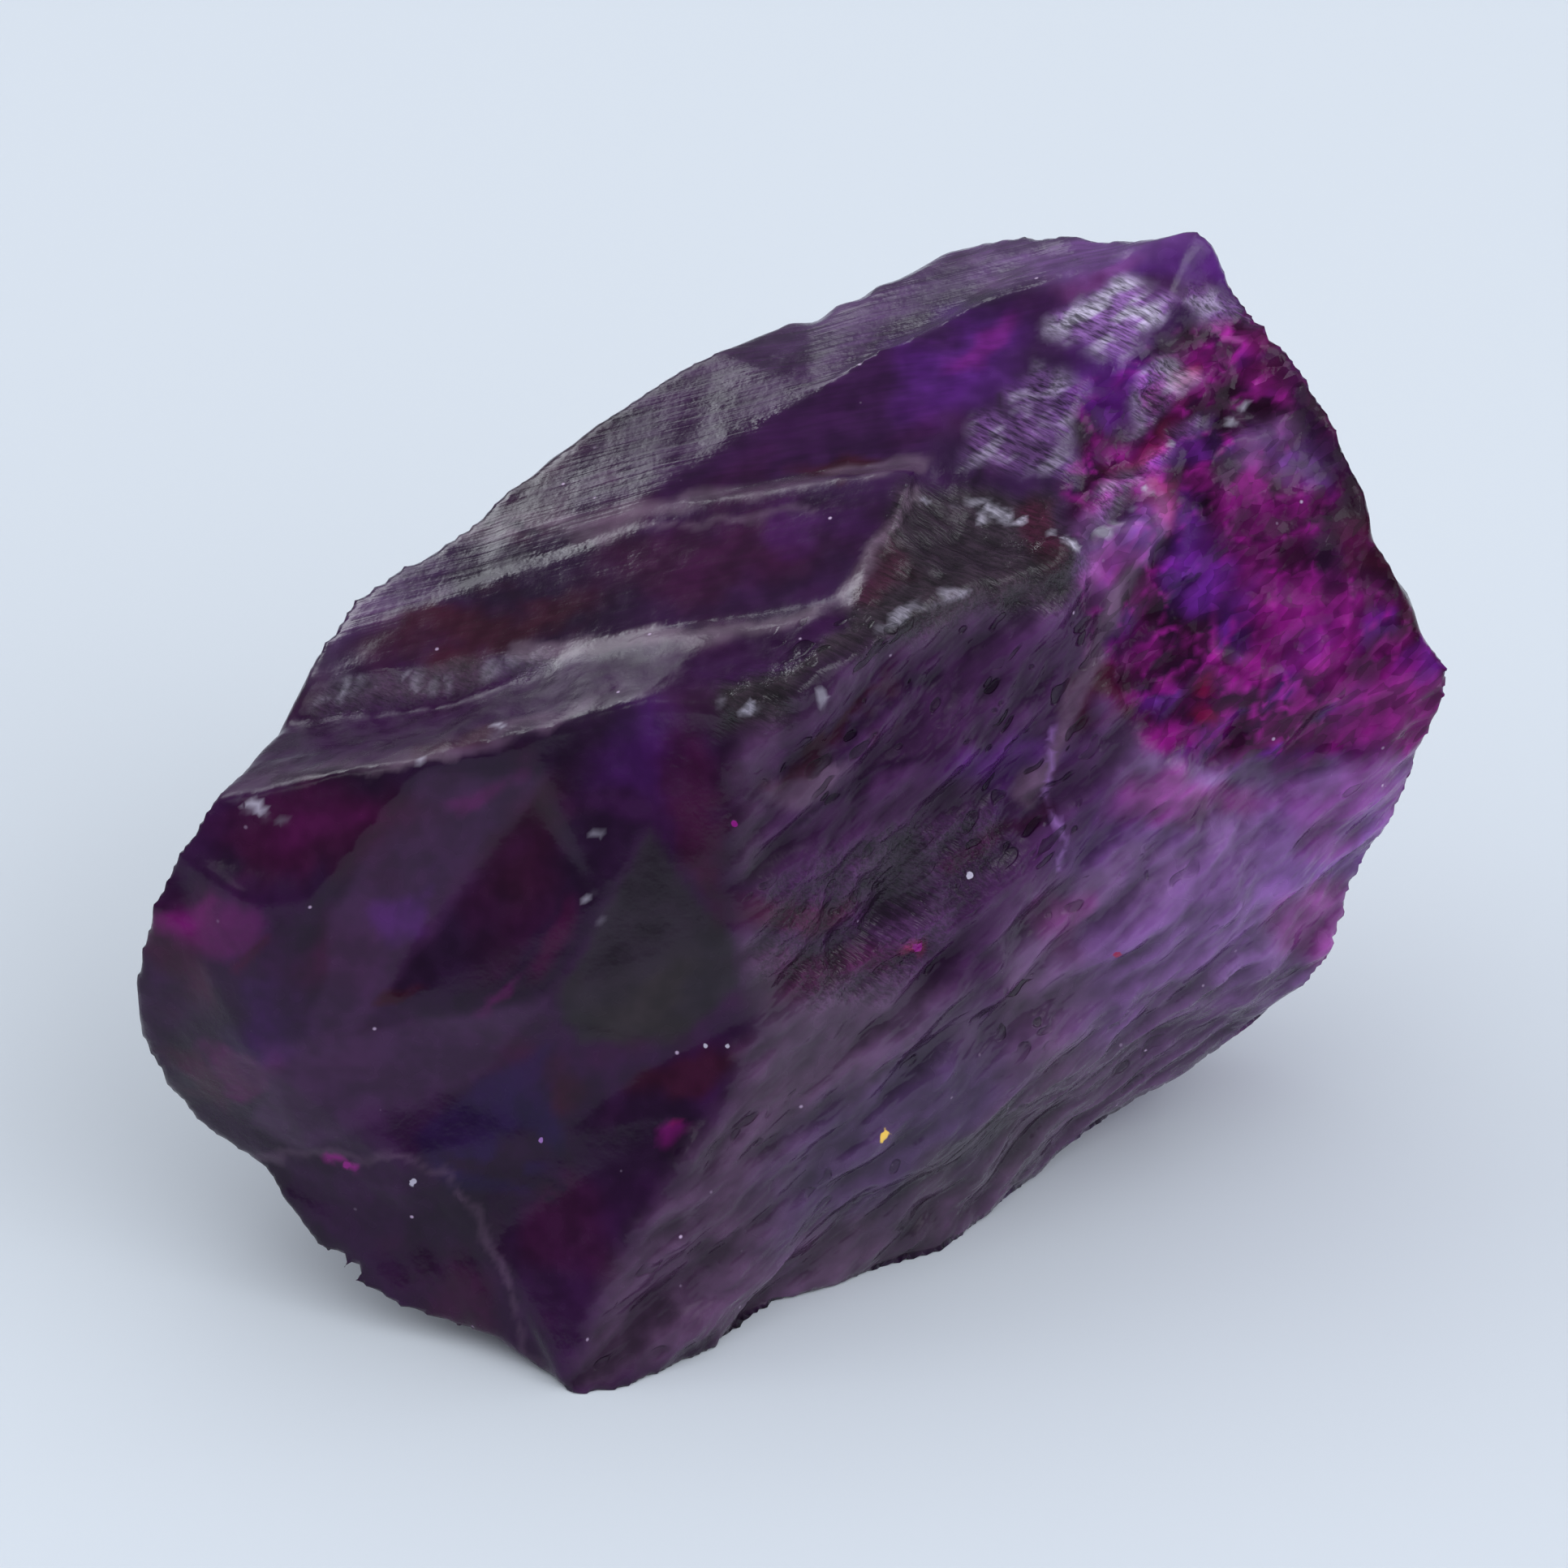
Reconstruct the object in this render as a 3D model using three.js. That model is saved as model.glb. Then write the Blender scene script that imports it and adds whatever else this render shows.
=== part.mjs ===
// Rough sapphire: one broken, glassy crystal lying on a flat break.
// Millimetres, +Z up. The length lies along X and the best faces look towards -Y.
// The stone is a cage of flat facets. Each facet is then split finely, and its surface is worn
// into swells, flow ripples, hollows and crumbled ledges.

import * as THREE from 'three';
import { ImprovedNoise } from 'three/addons/math/ImprovedNoise.js';
import { TessellateModifier } from 'three/addons/modifiers/TessellateModifier.js';
import { mergeVertices } from 'three/addons/utils/BufferGeometryUtils.js';

const SPLIT_LENGTH = 1.9; // longest edge left in the finished surface
const SPLIT_ROUNDS = 12;
const MERGE_DISTANCE = 0.001;
const UP = new THREE.Vector3(0, 0, 1);

// Wear of the surface
const BASE_BLEND = 1.6; // height over which the wear fades out towards the flat base
const SWELL_HEIGHT = 0.25;
const SWELL_WIDTH = 6;
const RIPPLE_HEIGHT = 0.35;
const RIPPLE_WIDTH = 2.6;
const RIPPLE_STRETCH = 4;
const RIPPLE_RUN = new THREE.Vector3(0.78, 0.53, 0.34).normalize();
const RIGHT_FACE = new THREE.Vector3(0.55, -0.83, 0).normalize();
const CRUMB_HEIGHT = 0.6;
const CRUMB_WIDTH = 3;
const CRUMB_STRETCH = 2;
const CRUMB_RUN = new THREE.Vector3(0.7, 0.1, 0.7).normalize();
const CRUMB_LEDGES = 3; // steps from the mean surface to full height
const BOWLS = [
  { middle: new THREE.Vector3(-13.6, 0.6, 4.4), radius: 3.4, depth: 0.7 }, // shell-shaped break
  { middle: new THREE.Vector3(4, 4.2, 15.8), radius: 5, depth: 0.8 }, // rough hollow
  { middle: new THREE.Vector3(7.2, 11.8, 28.2), radius: 3.4, depth: 0.7 }, // glassy hollow
];
const TERRACE_HEIGHT = 0.9; // ledges of the hidden side
const TERRACE_WIDTH = 11;
const TERRACE_COUNT = 3; // ledges from the mean surface to full height
const NOISE_OFFSET = 40; // keeps the noise away from the seam at zero
const noise = new ImprovedNoise();

// Corners of the cage, along each break line, from left to right or from top to bottom.
const lines = {
  // skyline of the top
  crest: [
    [-16, 14, 24.5], [-13.5, 15.5, 25.5], [-11, 16.5, 26.5], [-8, 18.5, 28], [-5, 20.5, 29],
    [-2.5, 22, 30], [1, 25, 30.5], [4, 26, 31.5], [6.5, 27.5, 32], [11, 25, 33.5], [15.5, 23.5, 34.5],
  ],
  // front edge of the back slope
  brow: [
    [-17, 11.5, 23.5], [-14, 12, 24.5], [-11, 13, 25.5], [-8, 13.5, 26.5], [-5.5, 14, 27.5],
    [-3.5, 15.5, 28.5], [1, 18, 30.5], [4.5, 19.5, 32], [7, 21, 32.5], [11.5, 21.5, 33.5],
  ],
  vein: [[-10, 15, 26.5]],
  // upper step, back edge and front edge, and the chamfer that ends it
  sill: [[-2, 14.5, 28.2], [1, 14.8, 28.7], [3.5, 15, 29.1], [5.2, 14.7, 29.2]],
  shelf: [
    [-2, 13.5, 28.3], [1, 13.3, 29], [3.5, 13.1, 29.6], [4.7, 12.8, 29.8], [3.3, 9.6, 28.4],
    [2, 8, 27.4],
  ],
  chamfer: [[3.8, 9.6, 28.2], [2.7, 7.2, 27.6]],
  // lower step, upper edge and lower edge
  step: [
    [-17.5, 10, 22.6], [-15.5, 9.8, 23.2], [-13, 9.4, 23.8], [-10.5, 9, 24.4], [-8, 8.8, 24.9],
    [-5, 8.6, 25.7], [-2, 8.2, 26.3], [1, 8, 27.1],
  ],
  tread: [
    [-18, 9.2, 21.4], [-15.5, 8.8, 22.1], [-12, 8, 22.8], [-9.5, 7.8, 24], [-7, 8, 25.1],
    [-5, 7.6, 25.7], [-2, 7, 26.5], [1, 6.5, 27.2],
  ],
  // front lip of the ledge, and on along the top of the right face
  lip: [
    [-20.5, 3.5, 21.5], [-18.5, 3, 22], [-16, 2.8, 22.9], [-13, 2.5, 23.5], [-10.5, 3, 24],
    [-7.5, 3.5, 24.8], [-5, 3.5, 25.5], [-2, 3, 25.5], [0.5, 3.5, 26], [2.5, 5, 26.5], [4, 6, 27],
    [6.5, 8.5, 27.3], [10, 11, 27], [11.5, 13, 27.5],
  ],
  // left end, from the ledge down to the underside
  rim: [
    [-19.5, 5.5, 21.5], [-22, 3, 19.5], [-23, 2.5, 17.5], [-23.7, 3, 14], [-23.6, 4, 11],
    [-23, 4, 9], [-21.7, 4, 7.2], [-19.5, 3.5, 6], [-18.8, 2.5, 5.2], [-17.8, 2, 3.7],
    [-17, 1.8, 2.5],
  ],
  // breaks on the left front
  plum: [[-20.5, 2.5, 19.5], [-19.3, 1.2, 18.8], [-16.5, 1, 19], [-14.5, 1.5, 21.5]],
  seam: [[-9, 3, 23.5], [-9, 3, 21.5], [-11, 2.5, 19], [-13, 2, 17], [-14.5, 1.2, 14.2]],
  spine: [[-5, 2, 21.5], [-6.5, 1.2, 18.5], [-8, 0.6, 14.5]],
  wedge: [[-13, 1.3, 13.3], [-13, 1.6, 10.6], [-9.5, 1.4, 12.2]],
  slate: [
    [-3.5, 1.5, 19.7], [-1.7, 1, 17.5], [-1, 1.3, 13.7], [-3.7, 1.2, 12.3], [-7.3, 1.1, 12.9],
  ],
  cheek: [[-21, 1.7, 16], [-18.5, 0.7, 16], [-19.5, 1, 12.5]],
  belly: [[-16.5, 1.3, 9.5], [-8, 0.4, 9]],
  // keel between the left front and the right face, down to the foremost tip
  keel: [
    [-1.8, 2.7, 24.2], [-1.7, 1.8, 21.5], [-2, 0, 11], [-3.2, -0.7, 9.3], [-5, -1.4, 6.7],
    [-6.3, -2, 4.5], [-7.4, -2.5, 2.4],
  ],
  tip: [[-7.8, -3.2, 0]],
  // shell-shaped break at the lower left, upper edge and lower edge
  scoop: [
    [-17, 2.2, 7.2], [-14, 0.8, 7.7], [-12.3, 0.7, 7.2], [-10.7, -0.2, 4.7], [-9.6, -1.2, 2.4],
    [-8.5, -2.1, 0.1],
  ],
  toe: [[-9.7, -1.2, 0.4], [-12.2, 0, 0.6], [-14.3, 0.6, 1.2], [-15.8, 1.1, 1.8]],
  // foot of the right face
  heel: [
    [-6, -2.8, 0], [-3, -0.5, 0], [-0.2, 3, 0], [3.5, 5, 0], [6, 6.2, 0], [7.6, 8, 0.9],
    [10, 11, 1], [13.6, 14, 1.7], [17, 15.5, 3.4], [19, 14.3, 7.2], [21, 15, 7.6],
  ],
  // right end, from the peak down to the notch
  end: [
    [17, 24, 33.2], [18, 22, 31.7], [19.2, 21, 31], [20.2, 19.5, 29.3], [21.2, 18.5, 27.6],
    [22.4, 17, 25], [23, 16.2, 23], [23.8, 16, 21.3], [24.9, 15.8, 19.8], [25.2, 16, 18.7],
    [24.9, 16, 17.5], [24.3, 16.5, 16], [23.7, 16.8, 13.7], [23, 16.7, 12.5], [22, 16.2, 11.5],
    [21.8, 16, 9.9],
  ],
  // swells of the right face
  face: [
    [5.5, 6.5, 22.5], [10, 10, 22], [12.5, 13, 25.5], [9, 8.5, 18.5], [13, 11, 19.5],
    [1, 3, 18], [5.5, 5, 17], [4, 4, 12.5], [8.5, 7, 11], [12.5, 9, 12],
    [3.5, 3.5, 7], [16.5, 11.5, 12.5], [19.5, 14, 13], [1, 2.5, 5], [7, 6, 5.5],
    [13.5, 10.5, 7], [18, 13, 10], [14.5, 11.5, 19], [18.5, 13.5, 16.5], [22, 15, 16.5],
  ],
  // chips, glassy hollow and crumbled shell of the upper right
  chip: [
    [10, 19.5, 32], [12.5, 21.5, 33.5], [14.5, 21, 33], [13, 19.5, 32], [8, 16.5, 30.5],
    [11, 16, 29.8], [10.3, 14.3, 28.5], [7, 14.6, 28.8], [14, 19, 31.5], [15.5, 19.5, 31],
    [14, 17.5, 30], [13, 16.5, 29.5],
  ],
  glass: [[6.5, 12.5, 28.3], [9.2, 12.3, 27.6]],
  crumb: [
    [18, 18.5, 29], [14.5, 16, 27.5], [18, 16, 26], [14.5, 13, 23.5], [19, 14.5, 23],
    [16.5, 12.5, 20.5], [21, 14.5, 20],
  ],
  // hidden side and base
  back: [
    [-19, 11, 8.5], [-20.6, 9.5, 16], [-15.5, 18, 13], [-7.5, 25.5, 18.5], [3.5, 29.6, 15],
    [13.5, 28.6, 21.5], [21, 24, 19], [21.5, 21, 10], [17.5, 22.5, 3.5],
  ],
  base: [
    [-9.5, 0.6, 0], [10, 12, 0], [13.5, 19, 0], [10, 26, 0], [-2, 26, 0], [-10.5, 18, 0],
    [-12.5, 8, 0],
  ],
};

// Each facet is the ring of corners round it, anticlockwise from outside, in runs along the lines.
const flatFacets = {
  slopeLeft: 'brow 1-3, vein 1, crest 3-1',
  slopeVein: 'brow 3-5, vein 1',
  slopeMiddle: 'vein 1, brow 5-7, crest 6-3',
  slopeRight: 'brow 7-10, crest 11-6',
  veil: 'brow 5, sill 1-4, chip 5, brow 9-6',
  upperStep: 'brow 5, shelf 1-4, sill 4-1',
  tray: 'brow 1, step 1-8, shelf 6-1, brow 5-2',
  trayEnd: 'shelf 4-6, chamfer 2-1, sill 4',
  riser: 'step 1, tread 1-4, step 4-2',
  lowerStep: 'step 4, tread 4-8, chamfer 2, shelf 6, step 8-5',
  ledgeLeft: 'tread 1, rim 1, lip 1-4, tread 3-2',
  ledgeMiddle: 'lip 4-6, tread 4-3',
  ledgeRight: 'lip 6-9, tread 8-4',
  ledgeEnd: 'lip 9-11, chamfer 2, tread 8',
  glassLeft: 'chamfer 2, lip 11-12, glass 1, sill 4, chamfer 1',
  glassRight: 'lip 12-14, glass 2-1',
  glassTop: 'sill 4, glass 1-2, lip 14, chip 7-8',
  shard: 'sill 4, chip 8, chip 5',
  hoodLeft: 'brow 9, chip 5-6, chip 1',
  hoodMiddle: 'brow 9, chip 1-2, brow 10',
  hoodRight: 'brow 10, chip 2-3, crest 11',
  silver: 'chip 5, chip 8-6',
  sugar: 'chip 1, chip 4-2',
  pane: 'crest 11, chip 3, end 2-1',
  plum: 'lip 1, rim 2, plum 1-4, lip 4-2',
  window: 'rim 2-3, cheek 1-2, plum 2-1',
  cheek: 'rim 3-8, scoop 1-2, belly 1, cheek 3-1',
  band: 'lip 4, plum 4-2, cheek 2-3, belly 1, wedge 2-1, seam 5-1, lip 5',
  dusk: 'lip 5, seam 1-5, wedge 1, spine 3-1, lip 7-6',
  violet: 'lip 7, spine 1, slate 1-2, keel 2-1, lip 8',
  slate: 'spine 1-3, slate 5-1',
  wedge: 'wedge 1-3, slate 5, spine 3',
  bellyLeft: 'belly 1, scoop 2-3, belly 2, slate 4-5, wedge 3-2',
  bellyRight: 'belly 2, keel 3, slate 3-4',
  keelSide: 'scoop 3-6, tip 1, keel 7-3, belly 2',
  notch: 'end 14-16, heel 11-9, back 9-8',
  underside: 'toe 1-4, rim 11-6, back 1, base 7, base 1',
};

// These facets are split from their middle, which suits the more rounded breaks.
const roundedFacets = {
  scoop: 'rim 8-11, toe 4-1, scoop 6-1',
  face1: 'lip 8, keel 1-2, face 6-7, face 1, lip 9',
  face2: 'lip 9, face 1-2, lip 13-10',
  face3: 'keel 2, slate 2-3, face 8-6',
  face4: 'face 1, face 7, face 9, face 4, face 2',
  face5: 'face 2, face 4-5, face 3, lip 14-13',
  face6: 'slate 3, keel 3-4, face 14, face 11, face 8',
  face7: 'keel 4-7, tip 1, heel 1-3, face 14',
  face8: 'face 14, heel 3-6, face 15, face 11',
  face9: 'face 8, face 11, face 15-16, face 9, face 7',
  face10: 'face 15, heel 6-8, face 16',
  face11: 'face 9, face 16-17, face 12, face 10',
  face12: 'face 16, heel 8-10, face 17',
  face13: 'face 17, heel 10-11, end 16-15, face 13',
  face14: 'face 4, face 9-10, face 12, face 18, face 5',
  face15: 'face 12, face 17, face 13, face 19-18',
  face16: 'face 13, end 15-12, face 20-19',
  shell1: 'chip 6, chip 12, chip 9, chip 4, chip 1',
  shell2: 'chip 3-4, chip 9-10, end 3-2',
  shell3: 'chip 9, chip 12-10',
  shell4: 'chip 10-11, crumb 1, end 4-3',
  shell5: 'chip 6-7, crumb 2, chip 12',
  shell6: 'chip 7, lip 14, face 3, crumb 4, crumb 2',
  shell7: 'chip 12, crumb 2-3, crumb 1, chip 11',
  shell8: 'crumb 1, crumb 3, end 5-4',
  shell9: 'crumb 3, crumb 5, end 7-5',
  shell10: 'crumb 2, crumb 4, crumb 6-5, crumb 3',
  shell11: 'crumb 5-7, end 9-7',
  shell12: 'face 3, face 5, face 18, crumb 6, crumb 4',
  shell13: 'crumb 6, face 18-20, crumb 7',
  shell14: 'crumb 7, face 20, end 12-9',
  backLeft: 'brow 1, crest 1-4, back 3-2',
  backMiddle: 'crest 4-7, back 4-3',
  backRight: 'crest 7-10, back 5-4',
  backPeak: 'crest 10-11, end 1-3, back 6-5',
  backEnd: 'end 3-8, back 7-6',
  backCorner: 'end 8-14, back 8-7',
  undercut: 'heel 9-5, base 2-3, back 9',
  shoulder: 'rim 1, tread 1, step 1, brow 1, back 2',
  leftEnd: 'rim 6-2, lip 1, rim 1, back 2-1',
  toeEdge: 'tip 1, scoop 6, toe 1, base 1',
  lowLeft: 'back 1-3, base 6-7',
  lowMiddle: 'back 3-4, base 5-6',
  lowRight: 'back 4-6, base 4-5',
  lowCorner: 'back 6-9, base 3-4',
  base: 'heel 5-1, tip 1, base 1, base 7-2',
};

// Corners of a ring written as runs, such as 'brow 1-3, vein 1, crest 3-1'.
function readRing(runs) {
  const corners = [];
  for (const run of runs.split(', ')) {
    const [name, numbers] = run.split(' ');
    const [first, last = first] = numbers.split('-').map(Number);
    const stride = Math.sign(last - first) || 1;
    for (let number = first; number !== last + stride; number += stride) {
      corners.push(new THREE.Vector3(...lines[name][number - 1]));
    }
  }
  return corners;
}

// Average outward normal of a ring that is nearly flat.
function ringNormal(ring) {
  const normal = new THREE.Vector3();
  ring.forEach((corner, i) => {
    normal.add(corner.clone().cross(ring[(i + 1) % ring.length]));
  });
  return normal.normalize();
}

// Triangles from the middle of a ring to each of its sides.
function fanTriangles(ring) {
  const middle = new THREE.Vector3();
  ring.forEach((corner) => middle.addScaledVector(corner, 1 / ring.length));
  return ring.map((corner, i) => [middle, corner, ring[(i + 1) % ring.length]]);
}

// Triangles straight across a ring, cut in the plane that the ring lies nearest to.
function crossTriangles(ring) {
  const turn = new THREE.Quaternion().setFromUnitVectors(ringNormal(ring), UP);
  const outline = ring.map((corner) => {
    const flat = corner.clone().applyQuaternion(turn);
    return new THREE.Vector2(flat.x, flat.y);
  });
  return THREE.ShapeUtils.triangulateShape(outline, []).map((triple) => triple.map((i) => ring[i]));
}

function buildCage() {
  const flat = Object.values(flatFacets).flatMap((runs) => crossTriangles(readRing(runs)));
  const rounded = Object.values(roundedFacets).flatMap((runs) => fanTriangles(readRing(runs)));
  return new THREE.BufferGeometry().setFromPoints([...flat, ...rounded].flat());
}

// Noise from -1 to 1 whose lumps are about as wide as size, stretched along a direction.
function lumps(point, size, along = UP, stretch = 1) {
  const run = point.dot(along);
  const sample = point.clone().addScaledVector(along, run / stretch - run).divideScalar(size);
  return noise.noise(sample.x + NOISE_OFFSET, sample.y + NOISE_OFFSET, sample.z + NOISE_OFFSET);
}

// 1 at the middle of a round zone, falling to 0 at its radius.
function zone(point, middle, radius) {
  return 1 - THREE.MathUtils.smoothstep(point.distanceTo(middle), 0, radius);
}

// Gentle waviness that every broken face has.
function swell(point) {
  return SWELL_HEIGHT * lumps(point, SWELL_WIDTH);
}

// Ripples that climb to the right across the right face.
function ripples(point, normal) {
  const facing = THREE.MathUtils.smoothstep(normal.dot(RIGHT_FACE), 0.55, 0.9);
  const reach = THREE.MathUtils.smoothstep(point.x, -4, 6);
  return RIPPLE_HEIGHT * facing * reach * lumps(point, RIPPLE_WIDTH, RIPPLE_RUN, RIPPLE_STRETCH);
}

// Ledges and crumbs of the shell-like break at the upper right.
function crumble(point) {
  const reach = THREE.MathUtils.smoothstep(point.x, 9, 13) * THREE.MathUtils.smoothstep(point.z, 17, 20);
  const height = lumps(point, CRUMB_WIDTH, CRUMB_RUN, CRUMB_STRETCH) + 0.5 * lumps(point, CRUMB_WIDTH / 2);
  return CRUMB_HEIGHT * reach * Math.round(height * CRUMB_LEDGES) / CRUMB_LEDGES;
}

// Broad ledges that step across the hidden side.
function terraces(point, normal) {
  const reach = THREE.MathUtils.smoothstep(normal.y, 0.1, 0.6) * THREE.MathUtils.smoothstep(point.y, 8, 14);
  const height = lumps(point, TERRACE_WIDTH) * 2;
  return TERRACE_HEIGHT * reach * Math.round(height * TERRACE_COUNT) / TERRACE_COUNT;
}

// Bowls broken out of the surface.
function bowls(point) {
  return -BOWLS.reduce((depth, bowl) => depth + bowl.depth * zone(point, bowl.middle, bowl.radius), 0);
}

// Moves every point of a closed surface in or out by the wear, and leaves the base flat.
function wear(surface) {
  surface.computeVertexNormals();
  const { position, normal } = surface.attributes;
  const point = new THREE.Vector3();
  const outward = new THREE.Vector3();
  for (let i = 0; i < position.count; i += 1) {
    point.fromBufferAttribute(position, i);
    outward.fromBufferAttribute(normal, i);
    const relief = swell(point) + ripples(point, outward) + crumble(point) + bowls(point)
      + terraces(point, outward);
    point.addScaledVector(outward, relief * THREE.MathUtils.smoothstep(point.z, 0, BASE_BLEND));
    position.setXYZ(i, point.x, point.y, point.z);
  }
}

// Moves the origin to the middle of the bottom of the bounding box.
function standOnOrigin(geometry) {
  geometry.computeBoundingBox();
  const { min, max } = geometry.boundingBox;
  geometry.translate(-(min.x + max.x) / 2, -(min.y + max.y) / 2, -min.z);
}

function buildStone() {
  const split = new TessellateModifier(SPLIT_LENGTH, SPLIT_ROUNDS).modify(buildCage());
  const surface = mergeVertices(split, MERGE_DISTANCE);
  wear(surface);
  standOnOrigin(surface);
  return surface;
}

const stone = new THREE.Mesh(
  buildStone(),
  new THREE.MeshStandardMaterial({ color: 0x4b2a55, roughness: 0.22, metalness: 0 }),
);
stone.name = 'stone';

const sapphire = new THREE.Group();
sapphire.add(stone);

export default sapphire;
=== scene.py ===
"""Rough sapphire: the finished surface, its colours and the studio it lies in."""

import math

import bpy
import numpy as np
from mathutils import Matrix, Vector, noise
from mathutils.bvhtree import BVHTree


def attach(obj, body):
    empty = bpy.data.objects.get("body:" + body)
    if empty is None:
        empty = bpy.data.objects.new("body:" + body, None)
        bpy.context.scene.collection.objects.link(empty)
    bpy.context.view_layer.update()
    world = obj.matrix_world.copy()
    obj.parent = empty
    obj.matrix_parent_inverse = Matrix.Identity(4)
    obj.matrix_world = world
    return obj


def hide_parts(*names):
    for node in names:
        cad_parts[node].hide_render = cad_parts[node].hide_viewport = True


bl_info = {
    "name": "Rough Sapphire",
    "version": (1, 0, 0),
    "blender": (4, 5, 0),
    "location": "View3D > Sidebar > Sapphire",
    "description": "Builds a rough purple sapphire on a plain pale sheet",
    "category": "Object",
}

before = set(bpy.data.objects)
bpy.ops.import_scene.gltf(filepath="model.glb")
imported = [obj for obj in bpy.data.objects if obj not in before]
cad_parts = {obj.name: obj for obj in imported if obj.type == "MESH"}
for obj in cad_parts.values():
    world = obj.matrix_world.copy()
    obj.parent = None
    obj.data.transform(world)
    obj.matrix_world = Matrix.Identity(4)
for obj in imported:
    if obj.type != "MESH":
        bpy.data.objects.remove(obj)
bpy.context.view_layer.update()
MM = 0.001
SEED = 7


# ---------------------------------------------------------------- settings


def length(name, description, default):
    return bpy.props.FloatProperty(
        name=name, description=description, default=default * MM, unit="LENGTH"
    )


def angle(name, description, default):
    return bpy.props.FloatProperty(
        name=name, description=description, default=math.radians(default), subtype="ANGLE"
    )


def share(name, description, default):
    return bpy.props.FloatProperty(
        name=name, description=description, default=default, subtype="FACTOR"
    )


def colour(name, description, default):
    return bpy.props.FloatVectorProperty(
        name=name, description=description, default=default, subtype="COLOR", min=0, max=1
    )


class SapphireShape(bpy.types.PropertyGroup):
    """Sizes of the stone's surface."""

    merge: length("Merge distance", "Corners closer than this are one corner", 0.002)
    skin: length("Skin", "Spacing of the points that carry the surface", 0.255)
    waves: length("Waves", "Height of the low waves all over the stone", 0.03)
    chips: length("Chips", "Width of the chips of the crumbled end", 2.8)
    crumbs: length("Crumbs", "Width of the small chips on the chips", 1.0)
    lumps: length("Lumps", "Width of the lumps on the coarse breaks", 0.9)
    ripples: length("Ripples", "Height of the ripples on the right face", 0.42)


class SapphireLook(bpy.types.PropertyGroup):
    """Colours of the stone."""

    night: colour("Night", "Deep dark body", (0.016, 0.003, 0.022))
    dusk: colour("Dusk", "Dark purple body", (0.030, 0.004, 0.040))
    plum: colour("Plum", "Red purple", (0.040, 0.002, 0.029))
    maroon: colour("Maroon", "Dark red glass", (0.036, 0.003, 0.016))
    crimson: colour("Crimson", "Red sparks", (0.260, 0.004, 0.060))
    magenta: colour("Magenta", "Vivid pink purple", (0.205, 0.006, 0.160))
    violet: colour("Violet", "Vivid violet", (0.095, 0.010, 0.190))
    lilac: colour("Lilac", "Pale violet", (0.260, 0.120, 0.360))
    indigo: colour("Indigo", "Blue purple", (0.014, 0.004, 0.060))
    mauve: colour("Mauve", "Frosted grey purple", (0.100, 0.052, 0.100))
    heather: colour("Heather", "Dull purple", (0.050, 0.014, 0.062))
    # the pale pinkish grey is painted sheen along steps and edges
    pale_sheen: colour("Pale sheen", "Pale pinkish grey of worn edges", (0.150, 0.095, 0.140))
    slate: colour("Slate", "Grey green glass", (0.022, 0.015, 0.024))
    smoke: colour("Smoke", "Grey brown glass", (0.026, 0.017, 0.021))
    # silver is also the colour of the painted glints and highlights
    silver: colour("Silver", "Crushed pale grains", (0.400, 0.360, 0.450))
    gold: colour("Gold", "A yellow fleck", (0.800, 0.480, 0.080))
    # the fine pale specks are painted glints
    glint_specks: colour("Glint specks", "Fine pale specks", (0.620, 0.450, 0.660))
    index: bpy.props.FloatProperty(name="Index", description="Of refraction", default=1.77)
    polish: share("Polish", "Roughness of the cleanest breaks", 0.12)
    shine: share("Shine", "Strength of the reflections", 0.22)


class SapphireStudio(bpy.types.PropertyGroup):
    """Camera, floor and lights."""

    distance: length("Distance", "From the camera to the stone", 250)
    elevation: angle("Elevation", "Height of the camera above the horizon", 30)
    lens: bpy.props.FloatProperty(
        name="Focal length",
        description="Of the camera, on a 36 mm sensor",
        default=155.1,
        unit="CAMERA",
    )
    sheet: colour("Sheet", "Colour of the floor", (0.78, 0.82, 0.87))
    room: colour("Room", "Colour of the dim room around", (0.80, 0.86, 0.95))
    room_light: share("Room light", "How much light the room gives", 0.26)


# what the camera looks at, in mm
AIM = np.array([-0.7, -3.1, 18.05])
# the low left end is thin below this corner, in mm
THIN_EDGE = np.array([-11.0, -6.0, 6.0])
# middle of the rings of the scooped break, in mm
RING_MIDDLE = np.array([-22, -13, -2])
# the way the streaks run, and the turns of the streaked, growth and crushed grain
STREAK = np.array([0.755, 0.439, 0.479])
STREAK_TURN = (0, math.radians(-28.6), math.radians(30.2))
GROWTH_TURN = (0, math.radians(-16), 0)
CRUSH_TURN = (0, math.radians(24), math.radians(-15))
# numbers with no pattern, so that dice come from a place alone
DICE = np.array([[12.9, 39.3, 73.1], [78.2, 11.1, 52.2], [37.7, 83.2, 9.1]])
DICE_SPREAD = 4375.85


def towards_camera(studio):
    """Direction from the stone to the camera."""
    return np.array([0, -math.cos(studio.elevation), math.sin(studio.elevation)])


# ---------------------------------------------------------------- mesh helpers


def select_only(piece):
    bpy.ops.object.select_all(action="DESELECT")
    piece.select_set(True)
    bpy.context.view_layer.objects.active = piece


def apply_modifier(piece, name, kind, **values):
    modifier = piece.modifiers.new(name, kind)
    for key, value in values.items():
        setattr(modifier, key, value)
    bpy.ops.object.modifier_apply(modifier=modifier.name)


def smoothstep(low, high, value):
    t = np.clip((value - low) / (high - low), 0, 1)
    return t * t * (3 - 2 * t)


def fractal(points, size, octaves=3, shift=0.0):
    """Smooth noise of the given size in mm, about -1 to 1."""
    return np.array(
        [noise.fractal(Vector(p), 1.0, 2.0, octaves) for p in points / size + shift]
    )


def drift(points, size, shift=0.0):
    """A smooth noise vector at each point."""
    return np.array([noise.noise_vector(Vector(p)) for p in points / size + shift])


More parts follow.
